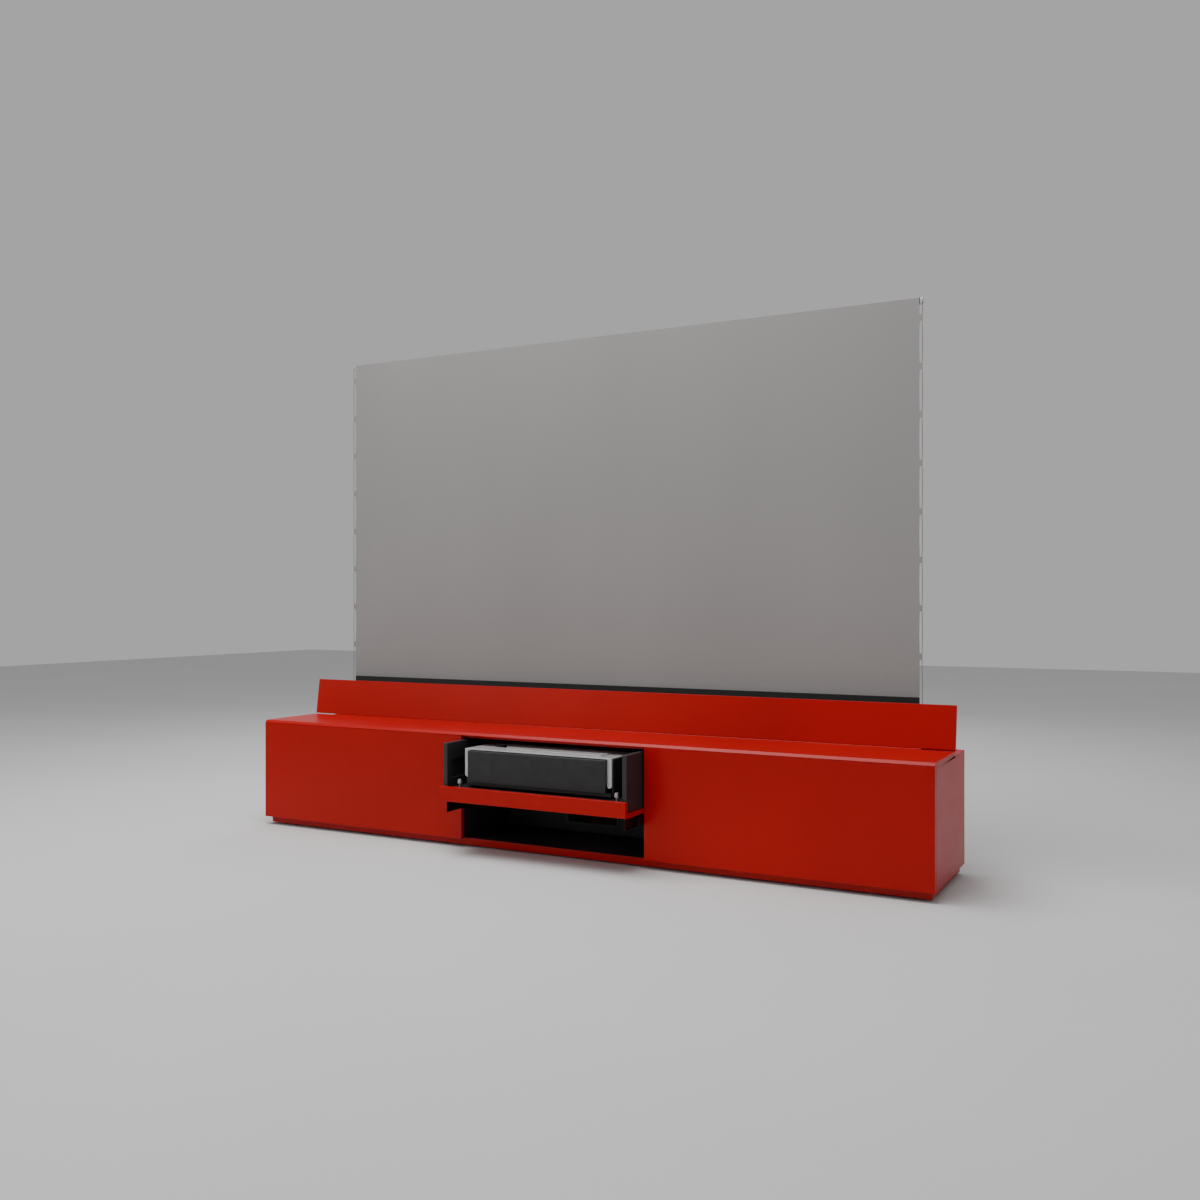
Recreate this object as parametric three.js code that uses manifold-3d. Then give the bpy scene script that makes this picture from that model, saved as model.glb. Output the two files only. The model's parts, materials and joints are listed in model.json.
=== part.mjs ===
// A home cinema cabinet that holds a short-throw projector and a screen which rises out of its back.
//
// X runs across the width, Y from the front to the back, Z up from the floor. Sizes are millimetres.
// Heights are above the floor, and depths are behind the closed door fronts. The finished group is moved
// so that its origin is the centre of its footprint.
import * as THREE from "three";
import { mergeVertices } from "three/addons/utils/BufferGeometryUtils.js";
import Module from "manifold-3d";

const wasm = await Module();
wasm.setup();

// ---------------------------------------------------------------- driving dimensions
const SEAM = 0.5; // gap between two fixed pieces
const SLIP = 0.5; // gap round a turning or sliding piece
const LAP = 1; // how far joined solids run into each other, and cutters run past a face

const CABINET = { width: 2960, depth: 502, top: 468, topBoard: 22, topLip: 12, chamfer: 10 };
const BOARD = { end: 25, divider: 18, door: 18, doorGap: 2, back: 12, bayBack: 8 };
const PLINTH = { foot: 7, footRadius: 22, thick: 28, setback: 30, inset: 15, footInset: 90 };
const BAY = { sideRoom: 85, backGap: 10 }; // room beside the projector and behind the bay
const HINGE = { radius: 3, pin: 1.3, leaf: 1.2, leafWidth: 28, knuckles: 6, margin: 60 };
const FLAP = { length: 164, thick: 12, rearInset: 4, openAngle: 82, margin: 120, leafWidth: 11.3, knuckles: 8 };

const CASING = { rollerGap: 4, floor: 180, top: 440, sheet: 1.5, bracket: 3, bracketTop: 262 };
const ROLLER = { radius: 29, height: 225, journal: 8, overhang: 15, clothGap: 0.7 };
const SCREEN = { width: 2660, top: 2124, thick: 1.6, tabPitch: 179, tabFirst: 74, tabs: 8 };
const TAB = { reach: 11, radius: 15 };
const TOP_BAR = { overhang: 13, thick: 10, height: 23, boss: 14, pivotDrop: 24 };
const ARM = { shoulderX: 250, shoulderHeight: 300, raisedAngle: 70, halfWidth: 20, thick: 10, gap: 3 };
const ARM_SLOT = { fromPivot: 80, halfWidth: 8, web: 60 };
const PIVOT = { radius: 7, headRadius: 12, head: 2 };
const LIFT_BASE = { overhang: 80, thick: 5, bottom: 186, top: 345, backGap: 1.7 };

const TRAY = { out: 150, depth: 350, gap: 1, boardBottom: 211, board: 18, lipRise: 2, lipHeight: 58, lip: 18 };
const TRAY_SIDE = { inset: 5, thick: 18, top: 440, pocketFront: 38, pocketLength: 172, pocketStep: 27 };
const POCKET = { bottom: 300, height: 72, depth: 4, deeper: 8 };
const PLATFORM = { inset: 12, top: 267, sheet: 8, front: 30, skirt: 5 };
const KNOB = { side: 23, front: 50, radius: 9, stem: 4, lift: 2, headBottom: 279, headTop: 297, chamfer: 1.5 };
const RAIL = { height: 40, sheet: 1.6, lip: 8.5, bottom: 166, length: 320, front: 24, shorter: 10, gap: 1.4 };
const RAIL_INNER_FLANGE = 14;

const PROJECTOR = { width: 654, depth: 287, front: 53, height: 145, skin: 5 };
const PAN = { lip: 14, footHeight: 8, foot: 12, footInset: 40 };
const FRONT_BAR = { width: 20, depth: 12, bottom: 33 };
const TOP_PLATE_DEPTH = 197;
const REAR_DECK = { drop: 1, margin: 20, groove: 2, width: 6, pitch: 30 };
const FRONT_PANEL = { proud: 13, bottom: 16, top: 7, wall: 6 };
const WELL = { left: -250, right: 250, front: 92, depth: 94, wall: 3, deep: 44 };
const SHUTTER = { frontLeft: -157, rearLeft: -247, right: 262, front: 36, depth: 153, thick: 3 };
const LOUVRE = { count: 14, width: 5, pitch: 14, bottom: 62, top: 16, front: 24 };
const MIRROR = {
  halfWidth: 85,
  clear: 6,
  radius: 80,
  thick: 4,
  from: 185,
  to: 235,
  steps: 8,
  centreBack: 83,
  centreDrop: 8,
};
const LENS = { radius: 27, front: 153, drop: 79, dish: 4 };
const ENGINE = {
  left: -75,
  right: 150,
  front: 244,
  back: 280,
  bottom: 290,
  top: 376,
  bedHeight: 56,
  chipWidth: 110,
  laserWidth: 70,
  laserProud: 40,
  laserTop: 366,
};
const SINK = { left: 160, right: 296, front: 150, back: 276, bottom: 290, base: 10, top: 370, count: 11, fin: 3 };
const FAN = {
  size: 84,
  wall: 3,
  thick: 16,
  strut: 3,
  axle: 2,
  hub: 13,
  cap: 1.5,
  recess: 1,
  blades: 7,
  bladeThick: 1.6,
  bladeAngle: 35,
  bladeRoot: 2,
  bladeInset: 3,
  tipGap: 1.5,
  left: 303,
  back: 266,
  bottom: 300,
};
const SUPPLY = {
  left: -306,
  right: -150,
  front: 150,
  back: 276,
  bottom: 284,
  thick: 2,
  capacitor: { left: 31.2, fronts: [34, 78], radius: 14, top: 335 },
  transformer: { left: 55, right: 100, front: 25, back: 75, top: 327 },
  plate: { left: 115, right: 119, front: 12, back: 114, top: 321 },
};
const CIRCUIT = { left: -306, right: -90, front: 135, back: 276, height: 352, thick: 2 };
// left, right, near edge, far edge and height of each part, from the main board's front left corner
const BOARD_PARTS = [
  [40, 75, 50, 85, 4],
  [95, 120, 40, 60, 3],
  [140, 180, 70, 120, 8],
  [66, 196, 131, 139, 9],
];
const SPEAKER = {
  inner: 150,
  outer: 290,
  front: 18,
  depth: 58,
  bottom: 290,
  top: 402,
  cone: 42,
  throat: 12,
  coneDepth: 16,
  dome: 9,
  domeBack: 4,
};
const BUTTON = { x: 250, height: 350, radius: 7, proud: 2, length: 8, collar: 10, collarThick: 2 };
const PORTS = { left: -240, right: -60, bottom: 310, top: 350, depth: 3 };
const SOCKET = { count: 4, start: 12, pitch: 42, width: 18, margin: 12, proud: 1.8 };
const INLET = { width: 28, height: 20, depth: 3, pin: 1.8, pinHeight: 4, pinPitch: 7, pinLength: 2.6 };
const CABINET_INLET_X = 450;
const PROJECTOR_INLET_X = 20;
const BACK_VENT = { x: 900, bottom: 90, top: 150, count: 6, width: 14, pitch: 34 };
const REAR_VENT = { x: 120, bottom: 300, top: 380, count: 10, width: 5, pitch: 11 };
const CABLE_HOLE = { half: 120, bottom: 70, top: 130 };

const ROUND = 20; // sides of a round piece
const FINE_ROUND = 24; // sides of a large round piece
const SMALL_ROUND = 10; // sides of a pin or knuckle

// ---------------------------------------------------------------- finishes
function finish(color, roughness, metalness) {
  return new THREE.MeshStandardMaterial({ color, roughness, metalness });
}

const FINISH = {
  redLacquer: finish(0xa01010, 0.35, 0),
  blackPanel: finish(0x151515, 0.6, 0),
  blackSteel: finish(0x1c1c1e, 0.5, 0.6),
  zincSteel: finish(0xb8babd, 0.4, 0.9),
  aluminium: finish(0x9c9ea2, 0.45, 0.9),
  silver: finish(0xb9b9bb, 0.4, 0.3),
  blackPlastic: finish(0x1a1a1a, 0.55, 0),
  glass: finish(0x303840, 0.05, 0),
  circuit: finish(0x1c5a33, 0.6, 0),
  fabric: finish(0xd9d7d2, 0.9, 0),
};

// ---------------------------------------------------------------- geometry helpers
function toSolid(geometry) {
  const bare = geometry.clone();
  bare.deleteAttribute("normal");
  bare.deleteAttribute("uv");
  const merged = mergeVertices(bare, 1e-4);
  const vertProperties = merged.attributes.position.array;
  const triVerts = new Uint32Array(merged.index.array);
  return new wasm.Manifold(new wasm.Mesh({ numProp: 3, vertProperties, triVerts }));
}

function toGeometry(solid) {
  const mesh = solid.getMesh();
  const geometry = new THREE.BufferGeometry();
  geometry.setAttribute("position", new THREE.BufferAttribute(mesh.vertProperties, 3));
  geometry.setIndex(new THREE.BufferAttribute(mesh.triVerts, 1));
  geometry.computeVertexNormals();
  return geometry;
}

function join(...pieces) {
  return toGeometry(pieces.map(toSolid).reduce((whole, piece) => whole.add(piece)));
}

function cut(piece, ...tools) {
  return toGeometry(tools.map(toSolid).reduce((whole, tool) => whole.subtract(tool), toSolid(piece)));
}

function block(x0, x1, y0, y1, z0, z1) {
  const box = new THREE.BoxGeometry(x1 - x0, y1 - y0, z1 - z0);
  return box.translate((x0 + x1) / 2, (y0 + y1) / 2, (z0 + z1) / 2);
}

function rodX(x0, x1, y, z, radius, sides = ROUND) {
  const rod = new THREE.CylinderGeometry(radius, radius, x1 - x0, sides);
  return rod.rotateZ(-Math.PI / 2).translate((x0 + x1) / 2, y, z);
}

function rodY(x, y0, y1, z, radius, sides = ROUND) {
  const rod = new THREE.CylinderGeometry(radius, radius, y1 - y0, sides);
  return rod.translate(x, (y0 + y1) / 2, z);
}

function rodZ(x, y, z0, z1, radius, sides = ROUND) {
  const rod = new THREE.CylinderGeometry(radius, radius, z1 - z0, sides);
  return rod.rotateX(Math.PI / 2).translate(x, y, (z0 + z1) / 2);
}

function outline(points) {
  return new THREE.Shape(points.map(([u, v]) => new THREE.Vector2(u, v)));
}

function extrude(shape, depth, curveSegments = 6) {
  return new THREE.ExtrudeGeometry(shape, { depth, bevelEnabled: false, curveSegments });
}

// A profile of (y, z) points drawn out along X.
function prismX(points, x0, x1) {
  const turn = new THREE.Matrix4().set(0, 0, 1, x0, 1, 0, 0, 0, 0, 1, 0, 0, 0, 0, 0, 1);
  return extrude(outline(points), x1 - x0).applyMatrix4(turn);
}

// A profile of (x, z), as points or as a shape, drawn out along Y.
function prismY(profile, y0, y1) {
  const shape = Array.isArray(profile) ? outline(profile) : profile;
  return extrude(shape, y1 - y0).rotateX(Math.PI / 2).translate(0, y1, 0);
}

// A profile of (x, y) points drawn out along Z.
function prismZ(points, z0, z1) {
  return extrude(outline(points), z1 - z0).translate(0, 0, z0);
}

function latheZ(profile, x, y, sides = ROUND) {
  const points = profile.map(([radius, z]) => new THREE.Vector2(radius, z));
  return new THREE.LatheGeometry(points, sides).rotateX(Math.PI / 2).translate(x, y, 0);
}

function degrees(angle) {
  return THREE.MathUtils.degToRad(angle);
}

function range(count) {
  return [...Array(count).keys()];
}

function addTo(group, name, geometry, material) {
  const mesh = new THREE.Mesh(geometry, material);
  mesh.name = name;
  group.add(mesh);
}

const SIDES = [
  { name: "left", sign: -1 },
  { name: "right", sign: 1 },
];

// A block given for the right-hand side and set on the side that sign names.
function sideBlock(sign, inner, outer, y0, y1, z0, z1) {
  return sign > 0 ? block(inner, outer, y0, y1, z0, z1) : block(-outer, -inner, y0, y1, z0, z1);
}

// ---------------------------------------------------------------- places worked out from the dimensions
const halfWidth = CABINET.width / 2;
const baseTop = PLINTH.foot + PLINTH.thick;
const topUnder = CABINET.top - CABINET.topBoard;
const lipUnder = CABINET.top - CABINET.topLip;
const carcassFront = BOARD.door + BOARD.doorGap;
const backFront = CABINET.depth - BOARD.back;
const endInner = halfWidth - BOARD.end;
const projectorHalf = PROJECTOR.width / 2;
const bayHalf = projectorHalf + BAY.sideRoom;
const dividerOuter = bayHalf + BOARD.divider;
const flapHinge = { y: CABINET.depth - FLAP.rearInset - FLAP.length, z: CABINET.top };
const doorHinge = { y: BOARD.door + HINGE.radius + SLIP, z: baseTop + HINGE.radius + SLIP };
const trayFront = -TRAY.out;
const trayHalf = bayHalf - TRAY.gap;
const trayBack = trayFront + TRAY.depth;
const boardTop = TRAY.boardBottom + TRAY.board;
const projectorFront = trayFront + PROJECTOR.front;
const projectorBack = projectorFront + PROJECTOR.depth;
const projectorBottom = PLATFORM.top + PAN.footHeight;
const projectorTop = projectorBottom + PROJECTOR.height;
const plateUnder = projectorTop - PROJECTOR.skin;
const plateBack = projectorFront + TOP_PLATE_DEPTH;
const knobX = projectorHalf + KNOB.side;

// The lift is stacked up forwards from the cabinet's back, and the roller and the bay follow it.
const casingBack = backFront - SEAM;
const liftBaseFront = casingBack - CASING.sheet - LIFT_BASE.backGap - LIFT_BASE.thick;
const upperArmBack = liftBaseFront - ARM.gap;
const upperArmFront = upperArmBack - ARM.thick;
const lowerArmBack = upperArmFront - ARM.gap;
const lowerArmFront = lowerArmBack - ARM.thick;
const barBack = lowerArmFront - ARM.gap;
const barFront = barBack - TOP_BAR.thick;
const fabricBack = barFront - SEAM;
const fabricFront = fabricBack - SCREEN.thick;
const rollerDepth = fabricFront - ROLLER.clothGap - ROLLER.radius;
const casingFront = rollerDepth - ROLLER.radius - CASING.rollerGap - CASING.sheet;
const bayDepth = casingFront - BAY.backGap - BOARD.bayBack;
const barTop = SCREEN.top - SLIP;
const barPivot = barTop - TOP_BAR.pivotDrop;
const armLength = (barPivot - ARM.shoulderHeight) / (2 * Math.sin(degrees(ARM.raisedAngle)));

// ---------------------------------------------------------------- cabinet
function topPanel() {
  const back = flapHinge.y - HINGE.radius - SLIP;
  const profile = [
    [0, lipUnder],
    [0, CABINET.top - CABINET.chamfer],
    [CABINET.chamfer, CABINET.top],
    [back, CABINET.top],
    [back, topUnder],
    [carcassFront, topUnder],
    [carcassFront, lipUnder],
  ];
  return prismX(profile, -halfWidth, halfWidth);
}

function bottomPanel() {
  const half = halfWidth - PLINTH.inset;
  const board = block(-half, half, PLINTH.setback, backFront - SEAM, PLINTH.foot, baseTop);
  const columns = [-half + PLINTH.footInset, 0, half - PLINTH.footInset];
  const rows = [PLINTH.setback + PLINTH.footInset, backFront - PLINTH.footInset];
  const feet = columns.flatMap((x) => rows.map((y) => rodZ(x, y, 0, PLINTH.foot + LAP, PLINTH.footRadius)));
  return join(board, ...feet);
}

function endPanel(sign) {
  const flapUnder = CABINET.top - FLAP.thick - SEAM;
  const profile = [
    [carcassFront, baseTop + SEAM],
    [CABINET.depth, baseTop + SEAM],
    [CABINET.depth, flapUnder],
    [flapHinge.y, flapUnder],
    [flapHinge.y, topUnder - SEAM],
    [carcassFront, topUnder - SEAM],
  ];
  return sign > 0 ? prismX(profile, endInner, halfWidth) : prismX(profile, -halfWidth, -endInner);
}

function divider(sign) {
  const back = casingFront - SEAM;
  return sideBlock(sign, bayHalf, dividerOuter, carcassFront, back, baseTop + SEAM, topUnder - SEAM);
}

function ventSlots({ bottom, top, count, width, pitch }, x, y0, y1) {
  return range(count).map((i) => {
    const left = x + (i - (count - 1) / 2) * pitch - width / 2;
    return block(left, left + width, y0, y1, bottom, top);
  });
}

// A recess with three contact pins, cut into the face of a panel that looks along +Y.
function inletRecess(panel, x, z, face) {
  const half = INLET.width / 2;
  const tall = INLET.height / 2;
  const floor = face - INLET.depth;
  const recess = block(x - half, x + half, floor, face + LAP, z - tall, z + tall);
  const pins = [-INLET.pinPitch, 0, INLET.pinPitch].map((offset) => {
    const left = x + offset - INLET.pin / 2;
    const bottom = z - INLET.pinHeight / 2;
    const tip = floor + INLET.pinLength;
    return block(left, left + INLET.pin, floor - LAP, tip, bottom, bottom + INLET.pinHeight);
  });
  return join(cut(panel, recess), ...pins);
}

function backPanel() {
  const half = endInner - SEAM;
  const top = CABINET.top - FLAP.thick - SEAM;
  const board = block(-half, half, backFront, CABINET.depth, baseTop + SEAM, top);
  const slots = [-BACK_VENT.x, 0, BACK_VENT.x].flatMap((x) =>
    ventSlots(BACK_VENT, x, backFront - LAP, CABINET.depth + LAP),
  );
  const inletHeight = (BACK_VENT.bottom + BACK_VENT.top) / 2;
  return inletRecess(cut(board, ...slots), CABINET_INLET_X, inletHeight, CABINET.depth);
}

function bayBackPanel() {
  const half = bayHalf - SEAM;
  const back = bayDepth + BOARD.bayBack;
  const { half: holeHalf, bottom, top } = CABLE_HOLE;
  const board = block(-half, half, bayDepth, back, baseTop + SEAM, topUnder - SEAM);
  return cut(board, block(-holeHalf, holeHalf, bayDepth - LAP, back + LAP, bottom, top));
}

function buildCabinet(group) {
  addTo(group, "top_panel", topPanel(), FINISH.redLacquer);
  addTo(group, "bottom_panel", bottomPanel(), FINISH.redLacquer);
  addTo(group, "back_panel", backPanel(), FINISH.redLacquer);
  addTo(group, "bay_back_panel", bayBackPanel(), FINISH.blackPanel);
  for (const { name, sign } of SIDES) {
    addTo(group, `end_panel_${name}`, endPanel(sign), FINISH.redLacquer);
    addTo(group, `divider_${name}`, divider(sign), FINISH.blackPanel);
  }
}

// ---------------------------------------------------------------- continuous hinges
// One leaf of a hinge whose axis is the X line through (0, 0). place turns (along the leaf, across it)
// into (y, z). The leaf with the pin takes the even knuckles, and the other takes the odd ones.
function hingeLeaf({ length, knuckles, width, withPin, place }) {
  const pitch = length / knuckles;
  const start = HINGE.radius + SLIP;
  const near = -HINGE.radius;
  const far = near + HINGE.leaf;
  const strip = [[start, near], [width, near], [width, far], [start, far]].map(place);
  const web = [[0, near], [start + LAP, near], [start + LAP, far], [0, far]].map(place);
  const pieces = [prismX(strip, -length / 2, length / 2)];
  for (const i of range(knuckles).filter((n) => n % 2 === (withPin ? 0 : 1))) {
    const x0 = -length / 2 + i * pitch + SLIP / 2;
    const x1 = x0 + pitch - SLIP;
    pieces.push(prismX(web, x0, x1), rodX(x0, x1, 0, 0, HINGE.radius, SMALL_ROUND));
  }
  if (withPin) return join(...pieces, rodX(-length / 2, length / 2, 0, 0, HINGE.pin, SMALL_ROUND));
  return cut(join(...pieces), rodX(-length, length, 0, 0, HINGE.pin + SLIP / 2, SMALL_ROUND));
}

// ---------------------------------------------------------------- doors
function buildDoors(group) {
  const inner = bayHalf;
  const width = halfWidth - inner;
  const leaf = { length: width - 2 * HINGE.margin, knuckles: HINGE.knuckles, width: HINGE.leafWidth };
  for (const { name, sign } of SIDES) {
    const centre = sign * (inner + width / 2);
    const door = sideBlock(sign, inner, halfWidth, 0, BOARD.door, baseTop, lipUnder - SEAM);
    const onDoor = hingeLeaf({ ...leaf, withPin: false, place: ([u, v]) => [v, u] });
    const onCabinet = hingeLeaf({ ...leaf, withPin: true, place: ([u, v]) => [u, v] });
    onDoor.translate(centre, doorHinge.y, doorHinge.z);
    onCabinet.translate(centre, doorHinge.y, doorHinge.z);
    addTo(group, `door_${name}`, door, FINISH.redLacquer);
    addTo(group, `door_hinge_leaf_${name}`, onDoor, FINISH.zincSteel);
    addTo(group, `cabinet_hinge_leaf_${name}`, onCabinet, FINISH.zincSteel);
  }
}

// ---------------------------------------------------------------- rear flap
function buildFlap(group) {
  const leafLength = CABINET.width - 2 * FLAP.margin;
  const leaf = { length: leafLength, knuckles: FLAP.knuckles, width: FLAP.leafWidth };
  const edge = HINGE.radius + SLIP;
  const flap = block(-halfWidth, halfWidth, edge, FLAP.length, -FLAP.thick, 0);
  const onFlap = hingeLeaf({ ...leaf, withPin: false, place: ([u, v]) => [-v, -u] });
  const onTop = hingeLeaf({ ...leaf, withPin: true, place: ([u, v]) => [v, -u] });
  for (const piece of [flap, onFlap]) piece.rotateX(degrees(FLAP.openAngle));
  for (const piece of [flap, onFlap, onTop]) piece.translate(0, flapHinge.y, flapHinge.z);
  addTo(group, "rear_flap", flap, FINISH.redLacquer);
  addTo(group, "flap_hinge_leaf", onFlap, FINISH.zincSteel);
  addTo(group, "top_hinge_leaf", onTop, FINISH.zincSteel);
}

// ---------------------------------------------------------------- rising screen
function screenCasing() {
  const half = endInner - SEAM;
  const trough = cut(
    block(-half, half, casingFront, casingBack, CASING.floor, CASING.top),
    block(
      -half + CASING.sheet, half - CASING.sheet,
      casingFront + CASING.sheet, casingBack - CASING.sheet,
      CASING.floor + CASING.sheet, CASING.top + LAP,
    ),
  );
  const bracketX = rollerHalf() + SLIP;
  const bearing = ROLLER.journal + SLIP;
  const brackets = SIDES.map(({ sign }) =>
    cut(
      sideBlock(
        sign, bracketX, bracketX + CASING.bracket,
        casingFront + LAP, rollerDepth + ROLLER.radius, CASING.floor + LAP, CASING.bracketTop,
      ),
      rodX(-half, half, rollerDepth, ROLLER.height, bearing),
    ),
  );
  return join(trough, ...brackets);
}

function rollerHalf() {
  return SCREEN.width / 2 + ROLLER.overhang;
}

function screenRoller() {
  const half = rollerHalf();
  const reach = half + SLIP + CASING.bracket;
  return join(
    rodX(-half, half, rollerDepth, ROLLER.height, ROLLER.radius, FINE_ROUND),
    rodX(-reach, reach, rollerDepth, ROLLER.height, ROLLER.journal),
  );
}

// The sheet, with a half-round tab at each place where a tension cord holds its edge.
function screenFabric() {
  const half = SCREEN.width / 2;
  const bottom = ROLLER.height;
  const heights = range(SCREEN.tabs).map((i) => SCREEN.top - SCREEN.tabFirst - i * SCREEN.tabPitch);
  const shape = new THREE.Shape();
  shape.moveTo(-half, bottom);
  shape.lineTo(half, bottom);
  for (const z of [...heights].reverse()) {
    shape.lineTo(half, z - TAB.radius);
    shape.quadraticCurveTo(half + 2 * TAB.reach, z, half, z + TAB.radius);
  }
  shape.lineTo(half, SCREEN.top);
  shape.lineTo(-half, SCREEN.top);
  for (const z of heights) {
    shape.lineTo(-half, z + TAB.radius);
    shape.quadraticCurveTo(-half - 2 * TAB.reach, z, -half, z - TAB.radius);
  }
  shape.lineTo(-half, bottom);
  return prismY(shape, fabricFront, fabricBack);
}

function stadium(length, radius) {
  const shape = new THREE.Shape();
  shape.absarc(0, 0, radius, Math.PI / 2, (3 * Math.PI) / 2, false);
  shape.absarc(length, 0, radius, -Math.PI / 2, Math.PI / 2, false);
  return shape;
}

// An arm that starts at its lower pivot and rises outwards or inwards, with a bore at each end that has one.
function arm(front, bores, pin) {
  const shape = stadium(armLength, ARM.halfWidth);
  const slotLength = (armLength - 2 * ARM_SLOT.fromPivot - ARM_SLOT.web) / 2;
  const slotStarts = [ARM_SLOT.fromPivot, ARM_SLOT.fromPivot + slotLength + ARM_SLOT.web];
  const bar = prismY(shape, front, front + ARM.thick);
  const slots = slotStarts.map((start) => {
    const slot = stadium(slotLength, ARM_SLOT.halfWidth);
    return prismY(slot, front - LAP, front + ARM.thick + LAP).translate(start, 0, 0);
  });
  const holes = bores.map((u) => rodY(u, front - LAP, front + ARM.thick + LAP, 0, PIVOT.radius + SLIP));
  const cutBar = cut(bar, ...slots, ...holes);
  return pin ? join(cutBar, pin) : cutBar;
}

function lowerArm(sign) {
  const angle = degrees(sign > 0 ? ARM.raisedAngle : 180 - ARM.raisedAngle);
  const pin = rodY(armLength, lowerArmFront + LAP, upperArmBack + SLIP, 0, PIVOT.radius);
  return arm(lowerArmFront, [0], pin)
    .rotateY(-angle)
    .translate(sign * ARM.shoulderX, 0, ARM.shoulderHeight);
}

function elbow(sign) {
  const rise = degrees(ARM.raisedAngle);
  return {
    x: sign * (ARM.shoulderX + armLength * Math.cos(rise)),
    z: ARM.shoulderHeight + armLength * Math.sin(rise),
  };
}

function upperArm(sign) {
  const angle = degrees(sign > 0 ? 180 - ARM.raisedAngle : ARM.raisedAngle);
  const { x, z } = elbow(sign);
  return arm(upperArmFront, [0, armLength]).rotateY(-angle).translate(x, 0, z);
}

function topBar() {
  const half = SCREEN.width / 2 + TOP_BAR.overhang;
  const bar = block(-half, half, barFront, barBack, barTop - TOP_BAR.height, barTop);
  const pivots = SIDES.flatMap(({ sign }) => {
    const x = sign * ARM.shoulderX;
    return [
      rodY(x, barBack - LAP, upperArmFront - SLIP, barPivot, TOP_BAR.boss),
      rodY(x, barBack - LAP, upperArmBack + SLIP, barPivot, PIVOT.radius),
    ];
  });
  return join(bar, ...pivots);
}

function liftBase() {
  const half = ARM.shoulderX + LIFT_BASE.overhang;
  const plate = block(
    -half, half, liftBaseFront, liftBaseFront + LIFT_BASE.thick, LIFT_BASE.bottom, LIFT_BASE.top,
  );
  const shoulders = SIDES.flatMap(({ sign }) => {
    const x = sign * ARM.shoulderX;
    return [
      rodY(x, lowerArmFront - SLIP, liftBaseFront + LAP, ARM.shoulderHeight, PIVOT.radius),
      rodY(x, lowerArmFront - SLIP - PIVOT.head, lowerArmFront - SLIP, ARM.shoulderHeight, PIVOT.headRadius),
      rodY(x, lowerArmBack + SLIP, liftBaseFront + LAP, ARM.shoulderHeight, PIVOT.headRadius),
    ];
  });
  return join(plate, ...shoulders);
}

function buildScreen(group) {
  addTo(group, "screen_casing", screenCasing(), FINISH.blackSteel);
  addTo(group, "screen_roller", screenRoller(), FINISH.aluminium);
  addTo(group, "screen_fabric", screenFabric(), FINISH.fabric);
  addTo(group, "screen_top_bar", topBar(), FINISH.blackSteel);
  addTo(group, "lift_base", liftBase(), FINISH.blackSteel);
  for (const { name, sign } of SIDES) {
    addTo(group, `lower_arm_${name}`, lowerArm(sign), FINISH.aluminium);
    addTo(group, `upper_arm_${name}`, upperArm(sign), FINISH.aluminium);
  }
}

// ---------------------------------------------------------------- slide rails
// The rails lie side by side on each divider: a fixed channel, a bar that runs half way, a moving channel.
const railOuterWall = bayHalf - SEAM;
const railOuterLip = railOuterWall - RAIL.lip;
const railInnerLip = railOuterLip - RAIL.gap;
const railInnerWall = railInnerLip - RAIL.lip;
const railTop = RAIL.bottom + RAIL.height;

function channel(sign, wall, lip, y0, y1) {
  const inwards = Math.sign(lip - wall);
  const webEnd = wall + inwards * RAIL.sheet;
  const profile = [
    [wall, RAIL.bottom],
    [lip, RAIL.bottom],
    [lip, RAIL.bottom + RAIL.sheet],
    [webEnd, RAIL.bottom + RAIL.sheet],
    [webEnd, railTop - RAIL.sheet],
    [lip, railTop - RAIL.sheet],
    [lip, railTop],
    [wall, railTop],
  ];
  return prismY(profile.map(([x, z]) => [sign * x, z]), y0, y1);
}

function outerRail(sign) {
  return channel(sign, railOuterWall, railOuterLip, RAIL.front, RAIL.front + RAIL.length);
}

function middleRail(sign) {
  const start = RAIL.front + RAIL.shorter - TRAY.out / 2;
  const end = start + RAIL.length - 2 * RAIL.shorter;
  const clear = RAIL.sheet + RAIL.gap;
  return sideBlock(
    sign, railInnerWall + clear, railOuterWall - clear, start, end, RAIL.bottom + clear, railTop - clear,
  );
}

function innerRail(sign) {
  const start = RAIL.front - TRAY.out;
  const top = TRAY.boardBottom - SEAM;
  const web = railInnerWall + RAIL.sheet;
  const flange = sideBlock(
    sign, railInnerWall - RAIL_INNER_FLANGE, web, start, start + RAIL.length, top - RAIL.sheet, top,
  );
  const neck = sideBlock(sign, railInnerWall, web, start, start + RAIL.length, railTop - LAP, top);
  return join(channel(sign, railInnerWall, railInnerLip, start, start + RAIL.length), neck, flange);
}

// ---------------------------------------------------------------- tray
function trayLip() {
  const bottom = TRAY.boardBottom + TRAY.lipRise;
  return block(-trayHalf, trayHalf, trayFront, trayFront + TRAY.lip, bottom, bottom + TRAY.lipHeight);
}

function trayBoard() {
  const front = trayFront + TRAY.lip + SEAM;
  return block(-trayHalf, trayHalf, front, trayBack, TRAY.boardBottom, boardTop);
}

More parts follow.
